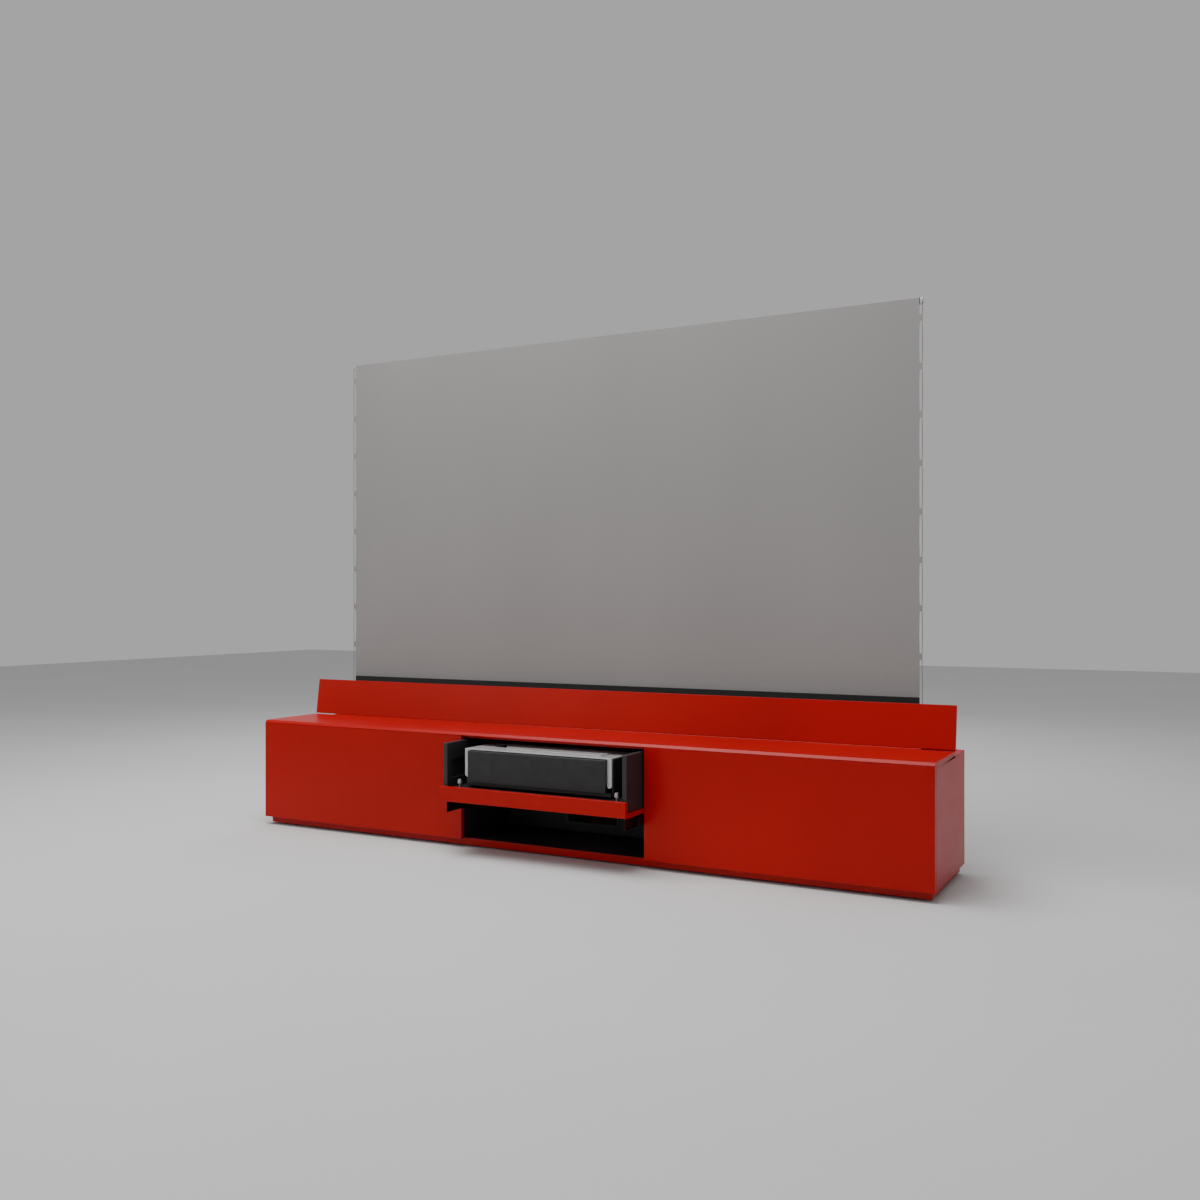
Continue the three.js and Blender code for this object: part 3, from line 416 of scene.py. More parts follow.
@dataclass(frozen=True)
class SatinPaint(Finish):
    """Silver paint with fine metal flake."""

    base: tuple[float, float, float] = (0.56, 0.56, 0.57)

    def paint(self, graph: Graph) -> None:
        """Lays out the paint."""
        flake = graph.add("TexVoronoi")
        flake.inputs["Scale"].default_value = 2400.0
        graph.join(graph.place(), flake.inputs["Vector"])
        sparkle = graph.span(flake.outputs["Distance"], 0, 1, 0.0, 0.8)
        graph.colour(graph.blend(sparkle, shade(self.base, 1.1), shade(self.base, 0.86)))
        graph.roughness(graph.span(graph.noise(graph.place(), 35.0, 5), 0.3, 0.4))
        graph.relief(flake.outputs["Distance"], 0.00001)
        graph.set(Metallic=0.55, Coat_Weight=0.15, Coat_Roughness=0.25)


@dataclass(frozen=True)
class MouldedPlastic(Finish):
    """Moulded plastic with a spark-eroded grain."""

    base: tuple[float, float, float] = (0.016, 0.016, 0.017)
    grain: float = 1100.0
    depth: float = 0.00005
    rough: tuple[float, float] = (0.42, 0.56)

    def paint(self, graph: Graph) -> None:
        """Lays out the plastic."""
        cell = graph.add("TexVoronoi", feature="SMOOTH_F1")
        cell.inputs["Scale"].default_value = self.grain
        graph.join(graph.place(), cell.inputs["Vector"])
        cloud = graph.noise(graph.place(), 18.0, 5)
        graph.colour(graph.blend(graph.span(cloud, 0, 1), shade(self.base, 0.85), shade(self.base, 1.2)))
        graph.roughness(graph.span(cloud, *self.rough))
        graph.relief(cell.outputs["Distance"], self.depth)


@dataclass(frozen=True)
class Weave(Finish):
    """Cloth of crossed threads in the X and Z directions."""

    base: tuple[float, float, float] = (0.02, 0.02, 0.021)
    pitch: float = 0.0011
    depth: float = 0.0001
    rough: float = 0.85

    def paint(self, graph: Graph) -> None:
        """Lays out the cloth."""
        waves = []
        for direction in ("X", "Z"):
            wave = graph.add("TexWave", bands_direction=direction)
            wave.inputs["Scale"].default_value = math.pi / (10 * self.pitch)
            wave.inputs["Distortion"].default_value = 0.4
            wave.inputs["Detail Scale"].default_value = 3.0
            graph.join(graph.place(), wave.inputs["Vector"])
            waves.append(wave.outputs["Fac"])
        crossed = graph.compute("MULTIPLY", *waves)
        graph.colour(graph.blend(crossed, shade(self.base, 0.45), shade(self.base, 1.7)))
        worn = graph.noise(graph.place(), 30.0, 3)
        graph.roughness(graph.span(worn, self.rough - 0.06, self.rough + 0.06))
        graph.relief(crossed, self.depth)
        graph.set(Sheen_Weight=0.15, Sheen_Roughness=0.5)


@dataclass(frozen=True)
class ScreenCoat(Finish):
    """The matt grey coat of the picture area, with its close cross ribs and slight clouding."""

    base: tuple[float, float, float] = (0.27, 0.262, 0.257)

    def paint(self, graph: Graph) -> None:
        """Lays out the coat."""
        cloud = graph.noise(graph.place((1.0, 1.0, 0.4)), 2.2, 5)
        ribs = graph.noise(graph.place((0.03, 1.0, 1.0)), 1500.0, 2)
        speck = graph.noise(graph.place(), 2600.0, 1)
        mixed = graph.span(graph.weigh(cloud, speck, 0.6), 0, 1)
        graph.colour(graph.blend(mixed, shade(self.base, 0.95), shade(self.base, 1.05)))
        graph.roughness(graph.span(cloud, 0.72, 0.82))
        graph.relief(ribs, 0.00002)
        graph.set(Sheen_Weight=0.05, Specular_IOR_Level=0.3)


@dataclass(frozen=True)
class Rubber(Finish):
    """Matt rubber with dusty patches."""

    base: tuple[float, float, float] = (0.02, 0.02, 0.02)

    def paint(self, graph: Graph) -> None:
        """Lays out the rubber."""
        dust = graph.noise(graph.place(), 60.0, 6)
        graph.colour(graph.blend(graph.span(dust, 0, 1), self.base, shade(self.base, 2.2)))
        graph.roughness(graph.span(dust, 0.7, 0.9))
        graph.relief(graph.noise(graph.place(), 700.0, 3), 0.00008)


@dataclass(frozen=True)
class CoatedMirror(Finish):
    """A front-coated mirror with a trace of haze."""

    base: tuple[float, float, float] = (0.88, 0.89, 0.9)

    def paint(self, graph: Graph) -> None:
        """Lays out the mirror."""
        haze = graph.noise(graph.place(), 40.0, 6)
        graph.colour(graph.blend(graph.span(haze, 0, 1), shade(self.base, 0.97), self.base))
        graph.roughness(graph.span(haze, 0.02, 0.05))
        graph.set(Metallic=1.0)


@dataclass(frozen=True)
class LensGlass(Finish):
    """Dark coated glass with a painted purple reflection of its coating, strongest towards its rim where
    the surface turns from the view.
    """

    base: tuple[float, float, float] = (0.004, 0.004, 0.007)
    bloom: tuple[float, float, float] = (0.05, 0.012, 0.09)

    def paint(self, graph: Graph) -> None:
        """Lays out the glass."""
        facing = graph.add("LayerWeight")
        facing.inputs["Blend"].default_value = 0.4
        # The colour runs from the dark glass to a painted purple reflection where the surface faces away
        # from the view.
        graph.colour(graph.blend(facing.outputs["Facing"], self.base, self.bloom))
        graph.roughness(graph.span(graph.noise(graph.place(), 120.0, 4), 0.02, 0.06))
        graph.set(Coat_Weight=1.0, Coat_Roughness=0.02)


@dataclass(frozen=True)
class CircuitMask(Finish):
    """Green solder mask with pale tracks, and dark parts that stand on it."""

    board_top: float = 0.0
    base: tuple[float, float, float] = (0.008, 0.07, 0.025)
    track: tuple[float, float, float] = (0.02, 0.16, 0.06)
    part: tuple[float, float, float] = (0.012, 0.012, 0.013)

    def paint(self, graph: Graph) -> None:
        """Lays out the board."""
        tracks = graph.add("TexBrick", offset=0.37, squash=0.6, squash_frequency=3)
        tracks.inputs["Scale"].default_value = 90.0
        tracks.inputs["Mortar Size"].default_value = 0.04
        tracks.inputs["Color1"].default_value = (*self.base, 1)
        tracks.inputs["Color2"].default_value = (*shade(self.base, 1.3), 1)
        tracks.inputs["Mortar"].default_value = (*self.track, 1)
        graph.join(graph.place(), tracks.inputs["Vector"])
        height = graph.add("SeparateXYZ")
        graph.join(graph.place(), height.inputs["Vector"])
        raised = graph.compute("GREATER_THAN", height.outputs["Z"], self.board_top + SEAM)
        mix = graph.add("Mix", data_type="RGBA")
        graph.join(raised, mix.inputs[0])
        graph.join(tracks.outputs["Color"], mix.inputs[6])
        mix.inputs[7].default_value = (*self.part, 1)
        graph.colour(mix.outputs[2])
        graph.roughness(graph.span(graph.noise(graph.place(), 90.0, 4), 0.32, 0.5))
        graph.relief(tracks.outputs["Fac"], 0.00003)


class Finishes:
    """The object's finishes by their use, each made into a material once."""

    RED = Lacquer("red_lacquer")
    BOARD = Laminate("black_laminate")
    STEEL = PowderCoat("black_powder_coat")
    ANODISED = DrawnMetal("black_anodised", base=(0.03, 0.03, 0.033), rough=(0.35, 0.5))
    ZINC_X = DrawnMetal("zinc_plate_across", base=(0.58, 0.585, 0.57))
    RAIL = DrawnMetal("black_zinc_rail", base=(0.035, 0.035, 0.037), along=Axis.Y, rough=(0.36, 0.5))
    ZINC_Z = DrawnMetal("zinc_plate_upright", base=(0.58, 0.585, 0.57), along=Axis.Z)
    ALUMINIUM = DrawnMetal("aluminium", base=(0.62, 0.63, 0.64))
    CAST = DrawnMetal("cast_aluminium", base=(0.4, 0.4, 0.41), along=Axis.Z, rough=(0.45, 0.65))
    SILVER = SatinPaint("silver_paint")
    PLASTIC = MouldedPlastic("black_plastic")
    GLOSS = MouldedPlastic("smooth_black_plastic", grain=400.0, depth=0.00001, rough=(0.18, 0.28))
    SPEAKER_CLOTH = Weave("speaker_cloth")
    SCREEN = ScreenCoat("screen_coat")
    BLACK_CLOTH = Weave("black_cloth", base=(0.012, 0.012, 0.012), pitch=0.0009, depth=0.00005)
    CORD = Weave("tension_cord", base=(0.09, 0.09, 0.09), pitch=0.0016, depth=0.0002)
    RUBBER = Rubber("rubber")
    BRISTLE = Rubber("bristle", base=(0.012, 0.012, 0.012))
    MIRROR = CoatedMirror("mirror_glass")
    GLASS = LensGlass("lens_glass")

    made: dict[Finish, bpy.types.Material] = {}

    @classmethod
    def material(cls, finish: Finish) -> bpy.types.Material:
        """The material of a finish, made the first time that it is asked for.

        Args:
            finish: the finish.

        Returns:
            Its material.
        """
        if finish not in cls.made:
            graph = Graph(finish.name)
            finish.paint(graph)
            cls.made[finish] = graph.material
        return cls.made[finish]


# ------------------------------------------------------------------ shapes
class Shape:
    """A mesh under construction, in metres in the row frame."""

    def __init__(self) -> None:
        """Starts an empty mesh."""
        self.bm = bmesh.new()

    @staticmethod
    def copy_of(node: str) -> "Shape":
        """A merged copy of a CAD node's mesh, with its flat faces made whole."""
        shape = Shape()
        shape.bm.from_mesh(frame["nodes"][node].data)
        bmesh.ops.remove_doubles(shape.bm, verts=shape.bm.verts[:], dist=MERGE)
        bmesh.ops.dissolve_limit(
            shape.bm, angle_limit=FLAT_ANGLE, verts=shape.bm.verts[:], edges=shape.bm.edges[:],
            use_dissolve_boundaries=False, delimit=set(),
        )
        return shape

    def block(self, low: Sequence[float], high: Sequence[float]) -> "Shape":
        """Adds a block between two corners."""
        low, high = Vector(low), Vector(high)
        verts = bmesh.ops.create_cube(self.bm, size=1.0)["verts"]
        bmesh.ops.scale(self.bm, vec=high - low, verts=verts)
        bmesh.ops.translate(self.bm, vec=(low + high) / 2, verts=verts)
        return self

    def rod(self, start: Sequence[float], end: Sequence[float], radius: float,
            segments: int = 32) -> "Shape":
        """Adds a round rod between two points."""
        start, end = Vector(start), Vector(end)
        way = end - start
        verts = bmesh.ops.create_cone(
            self.bm, cap_ends=True, cap_tris=False, segments=segments,
            radius1=radius, radius2=radius, depth=way.length,
        )["verts"]
        turn = way.to_track_quat("Z", "Y").to_matrix()
        bmesh.ops.rotate(self.bm, cent=(0, 0, 0), matrix=turn, verts=verts)
        bmesh.ops.translate(self.bm, vec=(start + end) / 2, verts=verts)
        return self

    def prism(self, outline: Iterable[Sequence[float]], axis: Axis, start: float, end: float) -> "Shape":
        """Adds a flat outline drawn out along an axis.

        Args:
            outline: points in the plane across the axis: (y, z) for X, (z, x) for Y and (x, y) for Z.
            axis: the axis that the outline is drawn along.
            start: where it starts on the axis.
            end: where it ends.

        Returns:
            This shape.
        """
        verts = [self.bm.verts.new((u, v, start)) for u, v in outline]
        made = bmesh.ops.contextual_create(self.bm, geom=verts)["faces"]
        drawn = bmesh.ops.extrude_face_region(self.bm, geom=made)["geom"]
        ends = [item for item in drawn if isinstance(item, bmesh.types.BMVert)]
        bmesh.ops.translate(self.bm, vec=(0, 0, end - start), verts=ends)
        bmesh.ops.transform(self.bm, matrix=axis.basis, verts=verts + ends)
        bmesh.ops.recalc_face_normals(self.bm, faces=self.bm.faces[:])
        return self

    def lathe(self, profile: Iterable[Sequence[float]], centre: Sequence[float], axis: Axis,
              segments: int = 40) -> "Shape":
        """Adds a turned solid.

        Args:
            profile: (radius, height) points from one end of the axis to the other.
            centre: the point of height 0.
            axis: the axis that it turns about.
            segments: steps in a full turn.

        Returns:
            This shape.
        """
        verts = [self.bm.verts.new((radius, 0, height)) for radius, height in profile]
        edges = [self.bm.edges.new(pair) for pair in zip(verts, verts[1:])]
        before = set(self.bm.verts) - set(verts)
        bmesh.ops.spin(
            self.bm, geom=verts + edges, cent=(0, 0, 0), axis=(0, 0, 1), dvec=(0, 0, 0),
            angle=math.tau, steps=segments, use_merge=True, use_normal_flip=False, use_duplicate=False,
        )
        made = [vert for vert in self.bm.verts if vert not in before]
        bmesh.ops.remove_doubles(self.bm, verts=made, dist=MERGE)
        made = [vert for vert in self.bm.verts if vert not in before]
        bmesh.ops.transform(self.bm, matrix=Matrix.Translation(Vector(centre)) @ axis.basis, verts=made)
        bmesh.ops.recalc_face_normals(self.bm, faces=self.bm.faces[:])
        return self

    def stadium(self, start: Sequence[float], end: Sequence[float], radius: float,
                depth: tuple[float, float], segments: int = 48) -> "Shape":
        """Adds a round-ended bar in the XZ plane.

        Args:
            start: the (x, z) centre of one round end.
            end: the (x, z) centre of the other.
            radius: half the bar's width.
            depth: where it starts and ends in Y.
            segments: sides of a full round.

        Returns:
            This shape.
        """
        before = set(self.bm.verts)
        for x, z in (start, end):
            self.rod((x, depth[0], z), (x, depth[1], z), radius, segments)
        fresh = [vert for vert in self.bm.verts if vert not in before]
        faces = {face for vert in fresh for face in vert.link_faces}
        bmesh.ops.delete(self.bm, geom=list(faces), context="FACES_ONLY")
        hull = bmesh.ops.convex_hull(self.bm, input=fresh)
        spare = hull["geom_interior"] + hull["geom_unused"]
        loose = [item for item in spare if isinstance(item, bmesh.types.BMVert)]
        bmesh.ops.delete(self.bm, geom=list(set(loose)), context="VERTS")
        kept = [vert for vert in self.bm.verts if vert not in before]
        edges = list({edge for vert in kept for edge in vert.link_edges})
        bmesh.ops.dissolve_limit(
            self.bm, angle_limit=FLAT_ANGLE, verts=kept, edges=edges,
            use_dissolve_boundaries=False, delimit=set(),
        )
        return self

    def cable(self, points: Sequence[Vector], radius: float, segments: int = 10) -> "Shape":
        """Adds one closed round cable along points that run nearly straight up."""
        ring = bmesh.ops.create_circle(self.bm, cap_ends=True, radius=radius, segments=segments)["verts"]
        bmesh.ops.translate(self.bm, vec=points[0], verts=ring)
        face = foot = ring[0].link_faces[0]
        for start, end in zip(points, points[1:]):
            last = face
            drawn = bmesh.ops.extrude_face_region(self.bm, geom=[last])["geom"]
            face = next(item for item in drawn if isinstance(item, bmesh.types.BMFace))
            bmesh.ops.translate(self.bm, vec=end - start, verts=face.verts[:])
            if last is not foot:
                bmesh.ops.delete(self.bm, geom=[last], context="FACES_ONLY")
        bmesh.ops.recalc_face_normals(self.bm, faces=self.bm.faces[:])
        return self

    def turn(self, angle: float, axis: Axis, about: Sequence[float]) -> "Shape":
        """Turns the whole shape about a line."""
        bmesh.ops.rotate(
            self.bm, cent=about, matrix=Matrix.Rotation(angle, 3, axis.vector), verts=self.bm.verts[:],
        )
        return self

    def move(self, matrix: Matrix) -> "Shape":
        """Places the whole shape with a matrix, and mends its normals if that mirrors it."""
        bmesh.ops.transform(self.bm, matrix=matrix, verts=self.bm.verts[:])
        if matrix.determinant() < 0:
            bmesh.ops.reverse_faces(self.bm, faces=self.bm.faces[:])
        return self

    def ease(self, radius: float, segments: int = 3, sharp: float = SHARP_ANGLE) -> "Shape":
        """Rounds every edge that is sharper than an angle."""
        edges = [
            edge for edge in self.bm.edges
            if len(edge.link_faces) == 2 and edge.calc_face_angle(0.0) > sharp
        ]
        bmesh.ops.bevel(
            self.bm, geom=edges, offset=radius, offset_type="OFFSET", segments=segments, profile=0.5,
            affect="EDGES", clamp_overlap=True, material=-1,
        )
        return self

    def to_object(self, name: str) -> bpy.types.Object:
        """Makes an object of the mesh and frees the mesh under construction."""
        mesh = bpy.data.meshes.new(name)
        self.bm.to_mesh(mesh)
        self.bm.free()
        obj = bpy.data.objects.new(name, mesh)
        bpy.context.scene.collection.objects.link(obj)
        return obj

    def cut(self, cutter: "Shape") -> "Shape":
        """Takes another shape out of this one."""
        return self.combine(cutter, "DIFFERENCE")

    def take_in(self, other: "Shape") -> "Shape":
        """Adds another shape's mesh to this one as it is, and uses it up."""
        mesh = bpy.data.meshes.new("part")
        other.bm.to_mesh(mesh)
        other.bm.free()
        self.bm.from_mesh(mesh)
        bpy.data.meshes.remove(mesh)
        return self

    def combine(self, other: "Shape", operation: str) -> "Shape":
        """Joins or cuts two shapes as solids.

        Args:
            other: the second shape, which is used up.
            operation: DIFFERENCE or UNION.

        Returns:
            The result.
        """
        whole, tool = self.to_object("whole"), other.to_object("tool")
        modifier = whole.modifiers.new("combine", "BOOLEAN")
        modifier.object, modifier.operation, modifier.solver = tool, operation, "EXACT"
        graph = bpy.context.evaluated_depsgraph_get()
        result = Shape()
        result.bm.from_mesh(whole.evaluated_get(graph).to_mesh())
        for obj in (whole, tool):
            mesh = obj.data
            bpy.data.objects.remove(obj)
            bpy.data.meshes.remove(mesh)
        bmesh.ops.remove_doubles(result.bm, verts=result.bm.verts[:], dist=MERGE)
        return result


def add_piece(name: str, shape: Shape, body: str, finish: Finish,
              replaces: Sequence[str] = ()) -> bpy.types.Object:
    """Finishes a piece: smooth shading, material, body and the CAD nodes that it stands for.

    Args:
        name: the piece's name.
        shape: its mesh, which is used up.
        body: the CAD body that it moves with.
        finish: its surface finish.
        replaces: CAD nodes that it stands for.

    Returns:
        The finished object.
    """
    obj = shape.to_object(name)
    obj.data.polygons.foreach_set("use_smooth", [True] * len(obj.data.polygons))
    obj.data.set_sharp_from_angle(angle=SMOOTH_ANGLE)
    even = obj.modifiers.new("even_normals", "WEIGHTED_NORMAL")
    even.keep_sharp = True
    obj.data.materials.append(Finishes.material(finish))
    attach(obj, body)
    if replaces:
        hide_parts(*replaces)
    log.info("piece %s on %s", name, body)
    return obj


def dress(node: str, finish: Finish) -> None:
    """Gives a carried-over CAD node its finish.

    Args:
        node: the CAD node.
        finish: its surface finish.
    """
    obj = frame["nodes"][node]
    material = Finishes.material(finish)
    if obj.material_slots:
        for place in obj.material_slots:
            place.material = material
    else:
        obj.data.materials.append(material)
    log.info("node %s dressed", node)


def screw_head(shape: Shape, place: Vector, out: Axis, sign: int, radius: float, height: float) -> None:
    """Adds a button head with a round socket to a shape.

    Args:
        shape: the shape that gets the head.
        place: the middle of its seat.
        out: the axis that it looks along.
        sign: 1 if it looks up that axis and -1 if down it.
        radius: the head's radius.
        height: how far it stands out.
    """
    socket = radius * 0.42
    profile = [
        (0.0, 0.0), (radius, 0.0), (radius, height * 0.3), (radius * 0.84, height * 0.78),
        (radius * 0.6, height), (socket, height), (socket, height * 0.35), (0.0, height * 0.35),
    ]
    shape.lathe([(r, h * sign) for r, h in profile], place, out, 18)


# ------------------------------------------------------------------ hinges
@dataclass
class Leaf:
    """One leaf of a full-length hinge.

    along runs from the axis out over the leaf, and across from the leaf's plane to the axis.
    """

    name: str
    node: str
    body: str
    along: Vector
    across: Vector
    first_knuckle: int
    width: float
    finish: Finish
    slot: Slot


@dataclass
class FullLengthHinge:
    """A piano hinge: two leaves with turned-over knuckles on one pin, and a row of screws."""

    axis_point: Vector
    length: float
    leaves: Sequence[Leaf]
    turn: float = 0.0
    radius: float = 0.003
    sheet: float = 0.0012
    pitch: float = 0.034
    gap: float = 0.0004
    screw_pitch: float = 0.12
    screw_radius: float = 0.0034
    screw_share: float = 0.36
    screw_height: float = 0.0006
    pin_share: float = 0.5
    knuckle_sides: int = 16
    pin_sides: int = 10

    def build(self) -> None:
        """Builds and dresses both leaves."""
        for leaf in self.leaves:
            self.build_leaf(leaf)

    def build_leaf(self, leaf: Leaf) -> None:
        """Builds one leaf in its own plane, then sets it at the hinge's axis."""
        half = self.length / 2
        start = self.radius + SEAM
        top = -self.radius + self.sheet
        shape = Shape().block((-half, start, -self.radius), (half, leaf.width, top))
        count = int(self.length / self.pitch) // 2 * 2
        pitch = self.length / count
        for index in range(leaf.first_knuckle, count, 2):
            left = -half + index * pitch + self.gap / 2
            right = left + pitch - self.gap
            shape.block((left, -SEAM, -self.radius), (right, start + SEAM, top))
            shape.rod((left, 0, 0), (right, 0, 0), self.radius, self.knuckle_sides)
        if leaf.first_knuckle == 0:
            shape.rod((-half, 0, 0), (half, 0, 0), self.radius * self.pin_share, self.pin_sides)
        screws = int(self.length / self.screw_pitch)
        head = min(self.screw_radius, (leaf.width - start) * self.screw_share)
        for index in range(screws):
            x = (index - (screws - 1) / 2) * self.screw_pitch
            place = Vector((x, (start + leaf.width) / 2, top - HAIR))
            screw_head(shape, place, Axis.Z, 1, head, self.screw_height)
        basis = Matrix((Axis.X.vector, leaf.along, leaf.across)).transposed().to_4x4()
        shape.move(Matrix.Translation(self.axis_point) @ basis)
        bmesh.ops.recalc_face_normals(shape.bm, faces=shape.bm.faces[:])
        if self.turn and leaf.body != "cabinet":
            shape.turn(self.turn, Axis.X, self.axis_point)
        add_piece(leaf.name, shape, leaf.body, leaf.finish, [leaf.node])


# ------------------------------------------------------------------ cabinet
@dataclass
class Cabinet:
    """The lacquered carcass: top, plinth, ends, dividers and backs."""

    ease: float = 0.0015
    top_ease: float = 0.0007
    divider_ease: float = 0.0008
    back_ease: float = 0.0006
    flap_gap: float = 0.0035
    lip: float = 0.012
    chamfer: float = 0.010
    foot_height: float = 0.007
    foot_radius: float = 0.022
    foot_columns: Sequence[float] = (-1.375, 0.0, 1.375)
    foot_rows: Sequence[float] = (-0.056, 0.224)
    grommet_hole: tuple[float, float, float] = (0.12, 0.07, 0.13)
    grommet_rim: float = 0.006
    grommet_proud: float = 0.002
    grommet_ease: float = 0.0008
    bristle_pitch: float = 0.0021
    bristle_radius: float = 0.0005
    bristle_lean: float = 0.0006
    bristle_root: float = 0.001
    bristle_gap: float = 0.0004
    bristle_sides: int = 5
    batten: float = 0.012
    liner_gap: float = 0.0025
    liner_thick: float = 0.001
    liner_ease: float = 0.0003
    latch_place: tuple[float, float] = (1.446, 0.434)
    latch_length: float = 0.040
    latch_wall: float = 0.002
    latch_ease: float = 0.0005
    plunger_radius: float = 0.005
    plunger_proud: float = 0.0012
    plunger_length: float = 0.010
    holder_half: float = 0.009
    holder_depth: tuple[float, float] = (0.006, 0.034)
    holder_height: tuple[float, float] = (0.002, 0.0115)

    def build(self) -> None:
        """Builds and dresses the carcass."""
        self.top()
        self.plinth()
        self.ends()
        self.backs()
        self.bay_liner()
        self.grommet()
        self.latches()

    def top(self) -> None:
        """The top board, with its folded lip and chamfered front edge."""
        box = Box.of("top_panel")
        front, back = box.low.y, box.high.y
        inner = Box.of("divider_left").low.y
        outline = [
            (front, box.high.z - self.lip), (front, box.high.z - self.chamfer),
            (front + self.chamfer, box.high.z), (back, box.high.z), (back, box.low.z),
            (inner, box.low.z), (inner, box.high.z - self.lip),
        ]
        shape = Shape().prism(outline, Axis.X, box.low.x, box.high.x).ease(self.top_ease)
        add_piece("top_board", shape, "cabinet", Finishes.RED, ["top_panel"])

    def plinth(self) -> None:
        """The bottom board on its six round feet."""
        box = Box.of("bottom_panel")
        low = Vector((box.low.x, box.low.y, self.foot_height))
        board = Shape().block(low, box.high).ease(self.ease)
        add_piece("bottom_board", board, "cabinet", Finishes.RED, ["bottom_panel"])
        radius, height = self.foot_radius, self.foot_height
        profile = [
            (0, 0), (radius * 0.8, 0), (radius * 0.95, 0.0006), (radius, 0.0018),
            (radius, height * 0.7), (radius * 0.9, height + SEAM), (0, height + SEAM),
        ]
        feet = Shape()
        for x in self.foot_columns:
            for y in self.foot_rows:
                feet.lathe(profile, (x, y, 0), Axis.Z, 36)
        add_piece("cabinet_feet", feet, "cabinet", Finishes.RUBBER)

    def ends(self) -> None:
        """The two ends, cut down where the flap closes over them, and the two dividers."""
        top = Box.of("top_panel")
        for side in Side:
            box = Box.of(f"end_panel_{side.label}")
            step_y, step_z = top.high.y + self.flap_gap, top.low.z - SEAM
            outline = [
                (box.low.y, box.low.z), (box.high.y, box.low.z), (box.high.y, box.high.z),
                (step_y, box.high.z), (step_y, step_z), (box.low.y, step_z),
            ]
            end = Shape().prism(outline, Axis.X, box.low.x, box.high.x).ease(self.ease)
            add_piece(
                f"end_board_{side.label}", end, "cabinet", Finishes.RED,
                [f"end_panel_{side.label}"],
            )
            divider = Box.of(f"divider_{side.label}")
            shape = Shape().block(divider.low, divider.high).ease(self.divider_ease)
            add_piece(
                f"divider_board_{side.label}", shape, "cabinet", Finishes.BOARD,
                [f"divider_{side.label}"],
            )

    def backs(self) -> None:
        """The vented back and the back of the bay."""
        back = Shape.copy_of("back_panel").ease(self.back_ease, 2)
        add_piece("back_board", back, "cabinet", Finishes.RED, ["back_panel"])
        floor, rear = Box.of("bottom_panel"), Box.of("back_panel")
        low = (rear.low.x, floor.high.y - self.batten, floor.high.z - HAIR)
        high = (rear.high.x, rear.low.y + HAIR, floor.high.z + self.batten)
        batten = Shape().block(low, high).ease(self.ease)
        add_piece("back_batten", batten, "cabinet", Finishes.RED)
        bay = Shape.copy_of("bay_back_panel").ease(self.back_ease, 2)
        add_piece(
            "bay_back_board", bay, "cabinet", Finishes.BOARD, ["bay_back_panel"],
        )

    def bay_liner(self) -> None:
        """A thin black sheet over the floor of the bay, behind the red front edge."""
        floor, back = Box.of("bottom_panel"), Box.of("bay_back_panel")
        reach = Box.of("divider_right").low.x - self.liner_gap
        low = (-reach, floor.low.y + self.liner_gap, floor.high.z - HAIR)
        high = (reach, back.low.y - self.liner_gap, floor.high.z + self.liner_thick)
        liner = Shape().block(low, high).ease(self.liner_ease, 2)
        add_piece("bay_floor_liner", liner, "cabinet", Finishes.BOARD)

    def grommet(self) -> None:
        """A rimmed cable pass in the bay's back, closed by two combs of bristles."""
        back = Box.of("bay_back_panel")
        half, bottom, top = self.grommet_hole
        rim = self.grommet_rim
        face = back.low.y
        proud = self.grommet_proud
        ring = Shape().block((-half - rim, face - proud, bottom - rim), (half + rim, face, top + rim))
        opening = Shape().block(
            (-half + rim, face - 2 * proud, bottom + rim), (half - rim, face + proud, top - rim),
        )
        ring = ring.cut(opening).ease(self.grommet_ease)
        add_piece("cable_grommet", ring, "cabinet", Finishes.PLASTIC)
        combs = Shape()
        middle = (bottom + top) / 2
        count = int(2 * (half - rim) / self.bristle_pitch)
        for index in range(count):
            x = -half + rim + (index + 0.5) * self.bristle_pitch
            tip = x + self.bristle_lean * math.sin(index * SCATTER)
            for sign, edge in ((-1, bottom + rim), (1, top - rim)):
                root = (x, face + proud, edge + sign * self.bristle_root)
                end = (tip, face + proud, middle + sign * self.bristle_gap)
                combs.rod(root, end, self.bristle_radius, self.bristle_sides)
        add_piece("grommet_bristles", combs, "cabinet", Finishes.BRISTLE)

    def latches(self) -> None:
        """A push latch under the top board near each outer end, which holds its door shut."""
        front = Box.of("end_panel_left").low.y
        x, z = self.latch_place
        for side in Side:
            middle = side.value * x
            body = Shape().rod(
                (middle, front, z), (middle, front + self.latch_length, z),
                self.plunger_radius + self.latch_wall,
            )
            plunger = Shape().rod(
                (middle, front - self.plunger_proud, z), (middle, front + self.plunger_length, z),
                self.plunger_radius,
            )
            holder = Shape().block(
                (middle - self.holder_half, front + self.holder_depth[0], z + self.holder_height[0]),
                (middle + self.holder_half, front + self.holder_depth[1], z + self.holder_height[1]),
            )
            latch = body.combine(plunger, "UNION").combine(holder, "UNION").ease(self.latch_ease, 2)
            add_piece(f"push_latch_{side.label}", latch, "cabinet", Finishes.PLASTIC)


